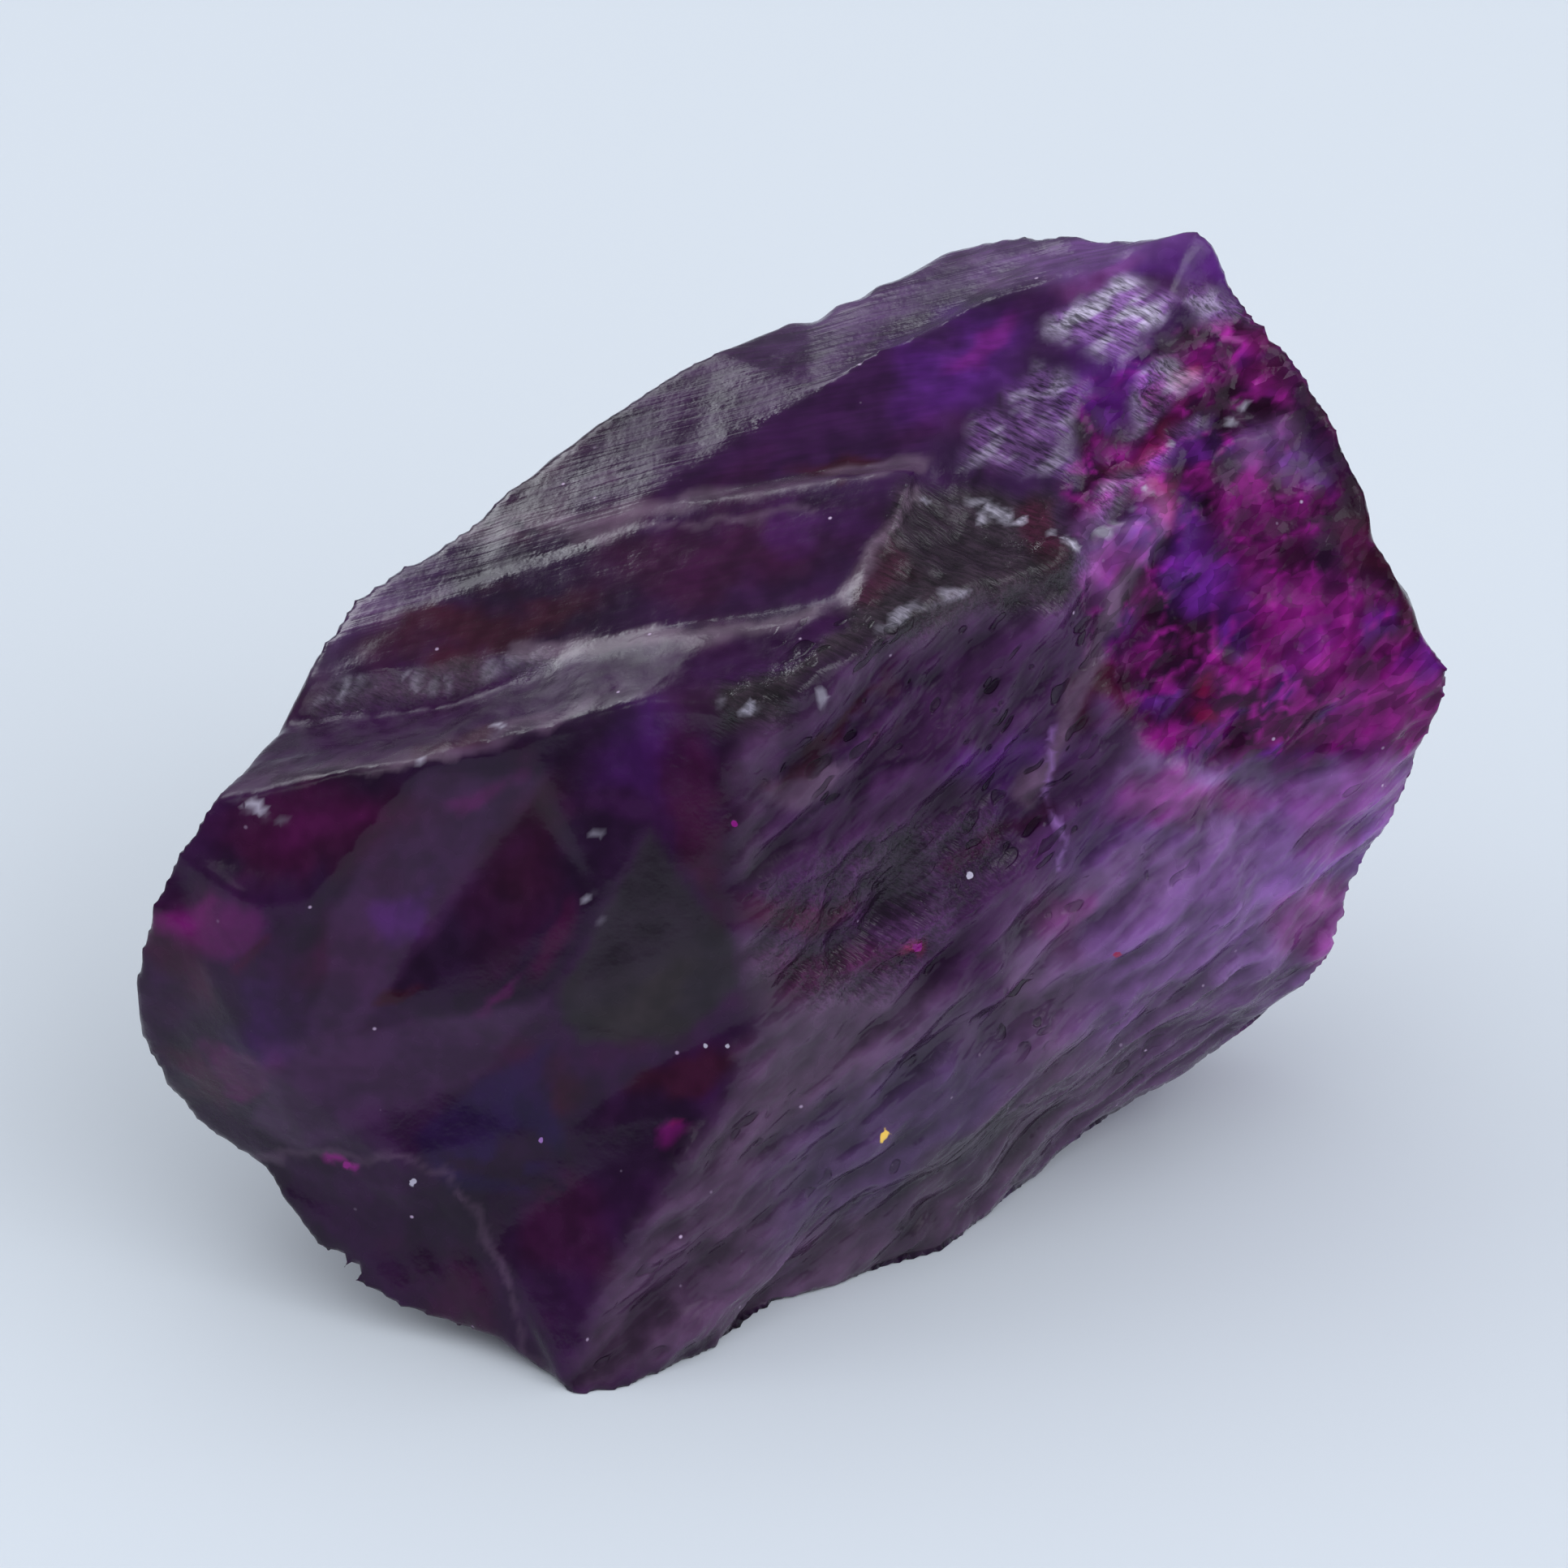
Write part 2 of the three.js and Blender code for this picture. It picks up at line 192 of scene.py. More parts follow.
def shards(points, size, lean, bowl):
    """A break into shards of the given size in mm: height, three dice a shard, gap to the next."""
    near = np.array([noise.voronoi(Vector(p))[1] for p in points / size])
    dice = np.modf(np.abs(np.sin(near @ DICE)) * DICE_SPREAD)[0]
    offset = points[:, None] - near * size
    tilted = (offset * (dice - 0.5)).sum(2) * lean * 2
    hollow = (offset**2).sum(2) / size * bowl
    rows = np.arange(len(points))
    heights = tilted + hollow
    lowest = heights.argmin(1)
    gap = np.diff(np.sort(heights, 1)[:, :2], axis=1)[:, 0]
    return heights[rows, lowest], dice[rows, lowest], gap


def drawn(points, amount):
    """The points squeezed along the streaks, so that noise made from them is drawn out."""
    return points - (points @ STREAK * amount)[:, None] * STREAK


def reach_to(places, path):
    """How far each place is from a line through the points of a path."""
    nearest = np.full(len(places), 1e9)
    for a, b in zip(path, path[1:]):
        edge = b - a
        offset = places - a
        t = np.clip(offset @ edge / (edge @ edge), 0, 1)
        nearest = np.minimum(nearest, np.linalg.norm(offset - t[:, None] * edge, axis=1))
    return nearest


# numbers that the material reads from each point, beside the tint
FINISHES = ("haze", "striae", "grit", "crush", "streaks", "pits", "dull")


class Skin:
    """The stone's points in mm, with what each is made of so far."""

    def __init__(self, piece, studio):
        mesh = piece.data
        self.mesh = mesh
        count = len(mesh.vertices)
        flat = np.zeros(count * 3, np.float32)
        mesh.vertices.foreach_get("co", flat)
        self.points = flat.reshape(-1, 3).astype(float) / MM
        mesh.vertex_normals.foreach_get("vector", flat)
        self.normals = flat.reshape(-1, 3).astype(float)
        self.height = np.zeros(count)
        self.tint = np.zeros((count, 3))
        for name in FINISHES:
            setattr(self, name, np.zeros(count))
        pairs = np.zeros(len(mesh.edges) * 2, np.int32)
        mesh.edges.foreach_get("vertices", pairs)
        self.edges = pairs.reshape(-1, 2)
        self.look_from(studio)

    def look_from(self, studio):
        """Where each point is seen from the front corner, in mm across and up from the aim."""
        distance = studio.distance / MM
        back = towards_camera(studio)
        up = np.array([0, back[2], -back[1]])
        away = self.points - (AIM + back * distance)
        depth = -(away @ back)
        self.seen = np.stack([away[:, 0], away @ up], 1) * (distance / depth)[:, None]
        self.front = smoothstep(-0.05, 0.15, self.normals @ back)
        self.facing = smoothstep(0.1, 0.6, self.normals @ back)
        self.behind = smoothstep(0.1, 0.6, -self.normals @ back)
        small = drift(self.points, 0.7, 7) * 0.2
        self.ragged = self.seen + (drift(self.points, 1.6) * 0.35 + small)[:, :2]
        self.torn = self.seen + (drift(self.points, 2.6, 3) * 1.5 + small * 2)[:, :2]

    def within(self, outline, soft=0.3, ragged=1.0):
        """1 inside an outline on the front, 0 outside, with a ragged soft edge."""
        places = self.seen + (self.ragged - self.seen) * ragged
        corners = np.array(outline, float)
        inside = np.zeros(len(places), bool)
        for a, b in zip(corners, np.roll(corners, -1, 0)):
            crosses = (a[1] > places[:, 1]) != (b[1] > places[:, 1])
            rise = b[1] - a[1] if b[1] != a[1] else 1e-9
            at = a[0] + (places[:, 1] - a[1]) * (b[0] - a[0]) / rise
            inside ^= crosses & (places[:, 0] < at)
        reach = reach_to(places, np.vstack([corners, corners[:1]]))
        return smoothstep(-soft, soft, np.where(inside, reach, -reach)) * self.front

    def along(self, path, wide, soft=0.6):
        """1 on a line through the points of a path on the front, 0 beside it."""
        reach = reach_to(self.ragged, np.array(path, float))
        return (1 - smoothstep(wide * (1 - soft), wide * (1 + soft), reach)) * self.front

    def around(self, across, up, wide, high, turn=0.0, soft=0.5):
        """1 in the middle of an oval on the front, 0 outside it."""
        x, y = (self.torn - (across, up)).T
        c, s = math.cos(math.radians(turn)), math.sin(math.radians(turn))
        reach = np.hypot((x * c + y * s) / wide, (y * c - x * s) / high)
        return (1 - smoothstep(1 - soft, 1 + soft, reach)) * self.front

    def dot(self, across, up, radius):
        """A crisp speck."""
        reach = np.hypot(*(self.ragged - (across, up)).T)
        return (1 - smoothstep(radius * 0.7, radius * 1.3, reach)) * self.front

    def eased(self, values, times):
        """The values, each drawn halfway to the mean of its neighbours a few times."""
        a, b = self.edges.T
        count = np.bincount(a, minlength=len(values)) + np.bincount(b, minlength=len(values))
        for _ in range(times):
            near = np.bincount(a, values[b], len(values)) + np.bincount(b, values[a], len(values))
            values = (values + near / np.maximum(count, 1)) / 2
        return values

    def raise_to(self, name, mask):
        """Lifts a finish to the mask where the mask is higher."""
        setattr(self, name, np.maximum(getattr(self, name), mask))

    def paint(self, mask, colour):
        self.tint += (np.array(colour) - self.tint) * mask[:, None]

    def finish(self):
        """Moves the points and stores the colours on the mesh."""
        moved = self.points + self.normals * self.height[:, None]
        moved[:, 2] = np.maximum(moved[:, 2], 0)
        self.mesh.vertices.foreach_set("co", (moved * MM).astype(np.float32).ravel())
        rgba = np.ones((len(moved), 4), np.float32)
        rgba[:, :3] = np.clip(self.tint, 0, 1)
        tint = self.mesh.attributes.new("Tint", "FLOAT_COLOR", "POINT")
        tint.data.foreach_set("color", rgba.ravel())
        for name in FINISHES:
            layer = self.mesh.attributes.new(name.title(), "FLOAT", "POINT")
            values = np.clip(getattr(self, name), 0, 1)
            layer.data.foreach_set("value", values.astype(np.float32))
        self.mesh.update()


# ---------------------------------------------------------------- places on the stone

# Outlines and ovals are in mm across and up from the aim, seen from the front corner.

CRUMBLED = (
    (11, 14.5), (13, 16), (15.5, 17), (18, 17), (19.5, 17), (22, 13), (24, 8), (26, 4),
    (25, 2), (21.8, 1), (18.3, 0.5), (14.6, 1.2), (12.8, 2), (11.2, 5), (11, 8), (10.5, 11),
)
RIGHT_FACE = (
    (-1.5, 2), (1, 3.2), (3.4, 5.3), (7, 6.5), (11.2, 7.4), (12.8, 2), (14.6, 1.2),
    (18.3, 0.3), (21.8, 1), (24.5, 2), (24, -2), (21.5, -6.5), (18.5, -8), (10, -14.5),
    (6, -18), (0, -20), (-8, -22.5), (-6.3, -18), (-3.3, -13.5), (-1.9, -11.7),
    (-1.2, -8.5), (-1.9, -4), (-1.7, -1.4),
)
SHADED = (
    (-1.2, 1.6), (3.4, 5), (7, 6.2), (11, 6.8), (12.6, 2.2), (12.6, -1.5), (9, -4), (7.5, -8),
    (5, -7.5), (1.5, -6.5), (-1, -6),
)
HOLLOW = (
    (-1, -4), (1, -2.5), (4, -1.6), (8, -1), (8.8, -2.8), (7, -4.6), (4, -7.9), (1, -8.2),
    (-1, -7),
)
BACK_SLOPE = (
    (-20, 3), (-16, 9), (-10, 12), (-4, 16), (4, 20), (8, 22), (16, 22), (13, 19.8),
    (10, 18.9), (7.8, 18.2), (6.1, 17.5), (4.1, 16.5), (2.5, 15.4), (1, 14.7),
    (-0.5, 13.8), (-2.7, 12.5), (-5.6, 10.2), (-8, 9), (-11, 8), (-12.5, 7), (-15.8, 5.4),
)
VEIL = (
    (-5.6, 10.2), (-2.7, 12.5), (1, 14.7), (4.1, 16.5), (7.8, 18.2), (10, 18.9), (9.5, 17),
    (7.5, 15), (5.5, 13.5), (5.2, 12), (2, 11.8), (-1, 11.2),
)
TRAY = (
    (-16.5, 4.2), (-12.5, 7), (-8, 9), (-2, 10.3), (2, 11), (5, 11.5), (4, 9.5), (2, 7.3),
    (-1, 6.3), (-5, 5.7), (-8, 5.2), (-12, 4.8),
)
RISER = ((-18, 2.2), (-16.5, 3.9), (-12, 4.6), (-8.5, 5.0), (-8.5, 4.2), (-12, 3.2))
LEDGE = (
    (-23, -0.5), (-18, 2.8), (-12, 3.4), (-8, 4.4), (-4, 4.8), (1, 6), (2, 7), (2.2, 5.8),
    (-0.5, 4), (-4.5, 3.4), (-9, 2.6), (-14, 1), (-18, 0.4), (-21, -1.3),
)
SCOOP = (
    (-20, -13.2), (-16.5, -13.6), (-14, -14), (-12.3, -14.8), (-11.2, -16.2), (-10, -18.5),
    (-9, -21), (-9, -23), (-18, -20),
)
RIM = (
    (4, 11), (6.4, 11), (10, 10.6), (11.4, 8), (10, 6.2), (7, 6.4), (4.6, 5.3), (1.5, 4.3),
    (0, 2.4), (-2.5, 1.8), (-2.5, 3.8), (1, 5), (2.6, 6.4), (3.4, 8.3),
)
# how crushed, and where
SUGAR = {
    "crown": (0.8, ((9.8, 16.7), (11.1, 17.8), (12.4, 18.7), (14.6, 18), (13.7, 17),
                    (12.8, 16.4), (12.3, 15.9), (11.7, 15.8))),
    "shoulder": (0.36, ((6.8, 13.5), (8.8, 14), (9.6, 12.6), (10.9, 12.2), (10.9, 11),
                       (8.8, 11.6), (6.7, 11.9))),
    "slide": (0.34, ((8.2, 14.2), (9.4, 15.6), (11.2, 14.6), (10.4, 13), (9.4, 12.6))),
    "fold": (0.45, ((13.1, 14.9), (14.1, 16), (15.1, 15.2), (14.2, 13.8), (12.9, 12.9))),
    "shelf": (0.36, ((14.8, 17.8), (15.3, 18.4), (17.5, 17.4), (17.5, 16.9), (16.1, 17.1))),
    "ridge": (0.3, ((11.4, 10.6), (13, 11.9), (14.6, 13.2), (15.4, 13.5), (14.6, 12.6),
                    (12.8, 10.9), (11.9, 9.6))),
}
# the facets of the left end, each painted lighter or darker for the reflection it shows: painted
# reflections
# colour, strength, outline
PANELS = (
    ("heather", 0.70, ((-13.3, 0.3), (-8.7, 0.3), (-12.2, -4.6), (-14.2, -7.4), (-16.5, -10),
                       (-18.2, -10.6), (-17, -7.4), (-16.7, -4.6))),
    ("night", 0.85, ((-7.6, -0.9), (-5, -1.3), (-7, -5.2), (-8.7, -7.7), (-10.7, -8.6),
                     (-13.3, -8.9), (-14.7, -7.9), (-12.2, -4.6))),
    ("heather", 0.85, ((-12.2, -8.5), (-8.7, -8), (-10.2, -9.5), (-11.3, -10.9),
                       (-14.2, -12.3), (-17.9, -13.6), (-19.6, -12.6), (-19.2, -9.6),
                       (-16.5, -9.5))),
    ("slate", 0.90, ((-5, -1.6), (-3.6, -3.7), (-1.9, -5.5), (-1.6, -7.4), (-3.6, -9.2),
                     (-7.6, -9.5), (-8.4, -8), (-7, -5.2), (-5.9, -3.5))),
    ("indigo", 0.50, ((-8.6, -9.6), (-8.2, -15), (-12.4, -15), (-13.8, -13), (-11.2, -11))),
)

# colour, across, up, half width, half height, turn, strength
BLOTS = (
    # left end
    ("plum", -17.5, -1.8, 3.6, 1.8, 15, 1.0),
    ("magenta", -17.0, -1.6, 1.2, 0.7, 30, 0.10),
    ("night", -20.9, -2.8, 1.0, 0.9, 0, 0.9),
    ("plum", -22.3, -6.0, 1.3, 2.0, 0, 0.8),
    ("magenta", -22.1, -4.9, 0.8, 0.6, 0, 0.45),
    ("magenta", -20.7, -5.5, 1.3, 0.9, -20, 0.28),
    ("plum", -22.2, -6.9, 0.9, 0.8, 0, 0.9),
    ("violet", -19.2, -8.9, 1.6, 1.0, 20, 0.20),
    ("magenta", -20.3, -10.4, 1.3, 0.6, 20, 0.28),
    ("plum", -21.9, -11.2, 1.4, 0.5, -40, 0.9),
    ("violet", -13.6, -4.3, 1.0, 0.7, 45, 0.35),
    ("magenta", -11.2, 0.3, 1.5, 0.4, 15, 0.25),
    ("maroon", -9.5, -2.0, 3.0, 1.1, 55, 0.5),
    ("plum", -10.2, -5.0, 2.6, 1.0, 50, 0.4),
    ("magenta", -10.5, -7.6, 0.9, 0.3, 35, 0.3),
    ("maroon", -14.6, -7.9, 0.5, 0.3, 0, 0.9),
    ("plum", -8.2, -6.0, 0.7, 1.5, -25, 0.9),
    # lit wedge, slate and the deep facet beside the keel
    ("maroon", -2.6, -2.6, 0.8, 2.6, 20, 0.6),
    ("smoke", -5.0, -7.6, 2.4, 0.8, 15, 0.8),
    ("violet", -4.7, 1.6, 1.6, 1.6, 0, 0.30),
    ("plum", -3.3, 0.4, 1.3, 2.0, 20, 0.8),
    ("maroon", -3.4, -10.0, 1.8, 0.8, 35, 0.8),
    ("magenta", -3.4, -13.1, 0.5, 0.6, -15, 0.7),
    ("crimson", -3.5, -12.7, 0.2, 0.3, 0, 0.3),
    ("maroon", -8.0, -11.5, 0.8, 1.2, 0, 0.6),
    ("night", -10.4, -14.2, 2.4, 0.35, -6, 1.0),
    ("night", -9.6, -15.6, 1.8, 0.25, -8, 0.8),
    ("plum", -8.4, -16.2, 1.6, 1.4, 30, 0.6),
    # top; the lilac blots on the long slopes are painted sheen
    ("maroon", -11.0, 5.8, 4.0, 0.8, 8, 1.0),
    ("lilac", -14.5, 8.5, 5.0, 2.0, 42, 0.12),
    ("plum", -2.0, 8.4, 4.6, 1.3, 10, 0.7),
    ("violet", 1.0, 9.2, 1.4, 0.8, 0, 0.22),
    ("maroon", 1.8, 11.7, 1.4, 0.4, 12, 1.0),
    ("lilac", 4.0, 18.0, 4.0, 1.2, 28, 0.14),
    ("violet", 6.4, 15.3, 2.4, 1.6, 35, 0.75),
    ("magenta", 7.4, 16.3, 1.2, 0.6, 35, 0.35),
    ("violet", 14.5, 19.5, 3.4, 1.0, -5, 0.7),
    ("magenta", 12.2, 19.2, 1.5, 0.5, 20, 0.35),
    ("violet", 11.9, 14.9, 1.8, 1.2, 30, 0.6),
    ("maroon", 9.6, 9.6, 1.0, 1.2, 0, 0.9),
    ("maroon", 3.6, 7.6, 0.8, 1.2, 0, 0.7),
    ("violet", -2.0, 4.2, 1.6, 0.6, 10, 0.3),
    # right face; the pale sheen blot here is painted sheen
    ("pale_sheen", 1.0, 0.4, 1.5, 0.9, 30, 0.4),
    ("dusk", -0.6, -4.2, 1.3, 1.3, 0, 0.6),
    ("dusk", 10.2, -2.4, 2.0, 1.2, 20, 0.4),
    ("plum", 2.0, -6.8, 2.8, 0.9, 10, 0.85),
    ("slate", 4.2, -3.4, 2.2, 1.2, 20, 0.7),
    ("maroon", 0.4, -4.3, 1.6, 0.8, 10, 0.7),
    ("crimson", 4.9, -6.0, 0.4, 0.4, 0, 0.5),
    ("violet", 8.0, 0.6, 2.2, 1.0, 10, 0.35),
    ("maroon", 11.6, 3.3, 1.5, 0.7, 25, 1.0),
    ("maroon", 2.2, 2.0, 3.0, 0.3, 35, 0.8),
    ("magenta", 15.4, -0.6, 2.8, 0.8, 8, 0.55),
    ("maroon", 15.2, -1.2, 0.6, 0.9, 0, 0.5),
    ("violet", 12.6, -1.8, 2.4, 1.2, 10, 0.3),
    ("violet", 20.0, -1.6, 3.4, 2.2, 30, 0.45),
    ("magenta", 21.0, -0.2, 2.6, 1.2, 20, 0.35),
    ("magenta", 20.2, -5.0, 1.6, 1.6, 0, 0.55),
    ("violet", 14.0, -6.0, 4.0, 2.0, 35, 0.22),
    ("magenta", 10.5, -5.0, 1.0, 0.8, 0, 0.35),
    ("indigo", 4.0, -13.0, 5.0, 2.6, 40, 0.4),
    ("smoke", 6.0, -14.6, 5.0, 1.2, 38, 0.5),
    ("dusk", 15.5, -8.6, 4.5, 1.0, 32, 0.4),
    # crumbled end
    ("crimson", 14.3, 14.4, 0.6, 0.7, 20, 0.8),
    ("crimson", 13.2, 12.2, 1.2, 0.5, 25, 0.6),
    ("crimson", 13.6, 10.0, 0.7, 0.6, 0, 0.6),
    ("crimson", 16.1, 3.6, 0.5, 0.6, 0, 0.55),
    ("crimson", 15.5, 2.3, 0.6, 0.5, 0, 0.4),
    ("lilac", 12.6, 8.9, 1.0, 1.7, -40, 0.4),
    ("lilac", 18.2, 12.6, 1.8, 1.0, 0, 0.2),
    ("violet", 15.6, 8.2, 1.6, 1.8, 0, 0.8),
    ("magenta", 18.8, 6.2, 2.2, 2.2, 30, 0.6),
    ("plum", 17.8, 9.4, 1.8, 1.2, 20, 0.5),
    ("magenta", 22.8, 3.2, 1.8, 1.6, 30, 0.6),
    ("maroon", 21.5, 10.0, 1.2, 5.0, 25, 0.85),
    ("night", 20.5, 9.0, 0.8, 1.6, 15, 0.7),
    ("magenta", 13.7, 1.6, 0.9, 0.8, 0, 1.0),
    ("night", 19.4, 13.4, 0.9, 2.6, 28, 0.8),
    ("maroon", 18.0, 16.0, 1.0, 1.2, 20, 0.7),
    # painted sheen on the long slope
    ("lilac", 11.0, 20.0, 4.6, 1.2, 4, 0.32),
)
# the silver lines are a painted highlight on the shoulder of the left end and painted glints along
# the rim
# colour, half width, strength, points
LINES = (
    ("silver", 0.24, 0.80, ((-20.2, -0.7), (-19.4, -0.9), (-18.5, -1.3))),
    ("silver", 0.12, 0.80, ((4.8, 10.5), (5.3, 10.3))),
    ("silver", 0.14, 0.90, ((6.4, 10.3), (7.6, 10.1), (8.9, 9.8))),
    ("silver", 0.12, 0.70, ((7.0, 9.8), (7.9, 9.6))),
    ("silver", 0.15, 0.70, ((10.1, 9.4), (10.9, 8.7))),
    ("silver", 0.18, 0.40, ((4.3, 6.2), (5.4, 6.9), (6.6, 7.2))),
    ("silver", 0.22, 0.50, ((3.8, 5.8), (4.4, 6.1))),
    # painted sheen: pale bands along the steps
    ("pale_sheen", 0.24, 0.50, ((-5.6, 10.1), (-2, 10.7), (1, 11.3), (4, 11.8), (5.2, 11.8))),
    ("pale_sheen", 0.30, 0.75, ((-9.8, 4.8), (-5, 5.4), (-2, 5.6), (1, 6.1), (2.2, 6.5))),
    ("pale_sheen", 0.22, 0.60, ((2.1, 6.9), (2.8, 7.7), (3.6, 8.9), (4.8, 10.8))),
    ("pale_sheen", 0.14, 0.35, ((-8, 9), (-6.5, 9.4), (-3.5, 9.6), (1, 10))),
    ("pale_sheen", 0.40, 0.50, ((-12.2, 9.3), (-9.5, 9.6), (-7.1, 9.5), (-5.6, 10))),
    ("night", 0.12, 0.90, ((-11, 9.6), (-9.8, 9.5), (-9.3, 9.3), (-9.1, 8.8))),
    ("night", 0.18, 0.90, ((-8, 3.8), (-5, 4.2), (-2, 4.4), (1, 5))),
    # painted sheen along the lip of the ledge
    ("pale_sheen", 0.25, 0.60, ((-20.3, 0), (-18.5, 0.5), (-16.4, 0.8), (-14, 0.9), (-12.2, 1.1))),
    ("mauve", 0.22, 0.80, ((-12.2, 1.2), (-9.5, 2.1), (-6.8, 3.2), (-5, 3.6))),
    ("maroon", 0.30, 0.80, ((-13.4, 1.3), (-12, 1.6), (-11, 1.9))),
    ("night", 0.15, 0.95, ((8, 14.2), (7.7, 13), (7, 11))),
    ("mauve", 0.38, 0.90, ((12.8, 7.9), (11.6, 5.2), (10.7, 3), (9.8, 0.8), (9.1, -0.4))),
    ("lilac", 0.10, 0.60, ((9.7, 2), (10, -1), (10.4, -3.1))),
    ("night", 0.24, 0.95, ((-12.2, -14.1), (-8.3, -14.7))),
    ("night", 0.16, 0.85, ((-11.3, -15.1), (-8.6, -15.4))),
    ("mauve", 0.13, 0.45, ((-19.7, -13.8), (-16.7, -13.6), (-14.1, -13.9), (-12.5, -14.4),
                           (-11.4, -16), (-10.6, -17.7), (-9.4, -20.8), (-8.5, -21.9))),
    ("magenta", 0.16, 0.95, ((-17, -13.9), (-15.7, -14.2))),
    ("plum", 0.18, 0.90, ((-20.3, -6.9), (-19.1, -5.8))),
    ("night", 0.20, 0.80, ((1.8, 1), (4, 3), (6, 4.2))),
    ("night", 0.16, 0.80, ((0.5, -1.5), (3, 0.4), (5, 1.2))),
    ("plum", 0.25, 0.70, ((6, -3.2), (8, -2), (10, -0.8))),
)
PITTED = {
    "streaks": (((0, 6), (11.5, 6.5), (11.5, -3), (1, -3)), 0.8),
    "cluster": (((7.5, -7), (9.3, -6.4), (10.2, -8), (8.7, -9.8), (7.4, -8.6)), 1.0),
}
# painted glints: colour, across, up, radius
GLINTS = (
    ("silver", -6.9, -1.9, 0.14), ("silver", -7.0, -4.1, 0.13),
    ("silver", -6.7, -4.8, 0.14), ("silver", -13.2, 0.8, 0.16), ("silver", -10.4, 1.9, 0.17),
    ("silver", -8.8, 3.8, 0.16), ("silver", -2.4, 2.9, 0.3), ("silver", -1.5, 2.8, 0.3),
    ("silver", 1.4, 3.1, 0.22), ("silver", 13.4, 11.1, 0.30), ("silver", 12.5, 9.9, 0.32),
    ("silver", 12.0, 9.3, 0.22), ("silver", 16.7, 13.6, 0.30), ("silver", 17.3, 14.1, 0.22),
    ("silver", 14.2, 12.4, 0.20), ("silver", 10.7, 8.9, 0.30),
)
# colour, across, up, radius; the silver sparks are painted glints
SPARKS = (
    ("gold", 3.7, -13.0, 0.19), ("silver", -13.7, -14.7, 0.14), ("silver", -2.9, -9.7, 0.10),
    ("silver", -2.1, -9.7, 0.08), ("silver", 6.9, -3.4, 0.13), ("magenta", 4.9, -6.0, 0.15),
    ("magenta", -1.8, -1.5, 0.11), ("magenta", -16.2, -14.1, 0.12), ("lilac", -9.0, -13.2, 0.10),
    ("crimson", 12.3, -6.3, 0.14),
)
# share of the depth that is left out of the reach to a spark, and how much brighter sparks are
SQUASH = 0.8
SPARK_BRIGHTNESS = 1.3
# across, up, half width, half height and turn of the smooth parts of the crumbled end
SMOOTH_OVALS = ((21.5, 10, 1.6, 6, 25), (19, 14, 1.4, 3, 28))
# height of the lumps on the coarse breaks, in mm
LUMPY = {"ledge": 0.05, "riser": 0.08, "hollow": 0.10, "rim": 0.16}
SUGAR_LUMPS = 0.05
# patches of colour: colour, where the noise starts and ends it, strength, and the noise's
# width in mm, octaves and shift
BODY_CLOUDS = (("dusk", -0.6, 0.2, 1.0, (7.0, 4, 11)), ("plum", 0.1, 0.7, 0.7, (5.0, 3, 23)))
CRUMBLED_CLOUDS = (
    ("magenta", -0.2, 0.4, 0.8, (2.0, 4, 41)), ("violet", 0.0, 0.6, 0.8, (1.7, 4, 47)),
)
BEHIND_CLOUDS = (("mauve", 0.0, 0.5, 0.5, (4.5, 4, 71)),)
FAR_END_CLOUDS = (
    ("magenta", -0.1, 0.4, 0.8, (2.4, 4, 73)), ("violet", 0.0, 0.4, 0.7, (2.8, 4, 79)),
)
# swells of the right face: width in mm, octaves, shift and how far they are drawn out
SWELLS = ((1.7, 3, 17, 0.65), (4.2, 2, 19, 0.5))
# rings of the scooped break: turns for each mm and strength, and the height in mm
RINGS = ((4.2, 0.5), (9.1, 0.25))
RING_HEIGHT = 0.03
# row of pale dots on the riser, painted highlights: how many, the first one's place and the step to
# the next
DOTS = 11
FIRST_DOT = (-17.7, 3.1)
DOT_STEP = (0.82, 0.16)


# ---------------------------------------------------------------- operators


class SAPPHIRE_OT_stone(bpy.types.Operator):
    """Builds the stone over its solid"""

    bl_idname = "sapphire.stone"
    bl_label = "Build Stone"

    def execute(self, context):
        scene = context.scene
        noise.seed_set(SEED)
        stone = self.copy_solid(scene.sapphire_shape)
        skin = Skin(stone, scene.sapphire_studio)
        on = zones(skin)
        broken = break_up(skin, scene.sapphire_shape)
        carve(skin, on, broken, scene.sapphire_shape)
        tint(skin, on, broken, scene.sapphire_look)
        roughen(skin, on)
        skin.finish()
        bpy.ops.object.shade_smooth()
        stone.data.materials.clear()
        stone.data.materials.append(corundum(scene.sapphire_look, scene.sapphire_studio))
        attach(stone, "root")
        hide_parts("stone")
        return {"FINISHED"}

    def copy_solid(self, shape):
        """An even skin of points over the solid."""
        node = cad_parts["stone"]
        stone = bpy.data.objects.new("rough_sapphire", node.data.copy())
        bpy.context.scene.collection.objects.link(stone)
        select_only(stone)
        bpy.ops.object.mode_set(mode="EDIT")
        bpy.ops.mesh.select_all(action="SELECT")
        bpy.ops.mesh.remove_doubles(threshold=shape.merge)
        bpy.ops.object.mode_set(mode="OBJECT")
        apply_modifier(stone, "Even skin", "REMESH", mode="VOXEL", voxel_size=shape.skin)
        apply_modifier(stone, "Ease", "SMOOTH", factor=0.5, iterations=4)
        thin = stone.vertex_groups.new(name="thin_edge")
        places = np.array([tuple(v.co) for v in stone.data.vertices]) / MM
        thin.add(np.flatnonzero((places < THIN_EDGE).all(1)).tolist(), 1.0, "REPLACE")
        apply_modifier(stone, "Mend", "SMOOTH", factor=0.5, iterations=30, vertex_group="thin_edge")
        stone.vertex_groups.clear()
        return stone


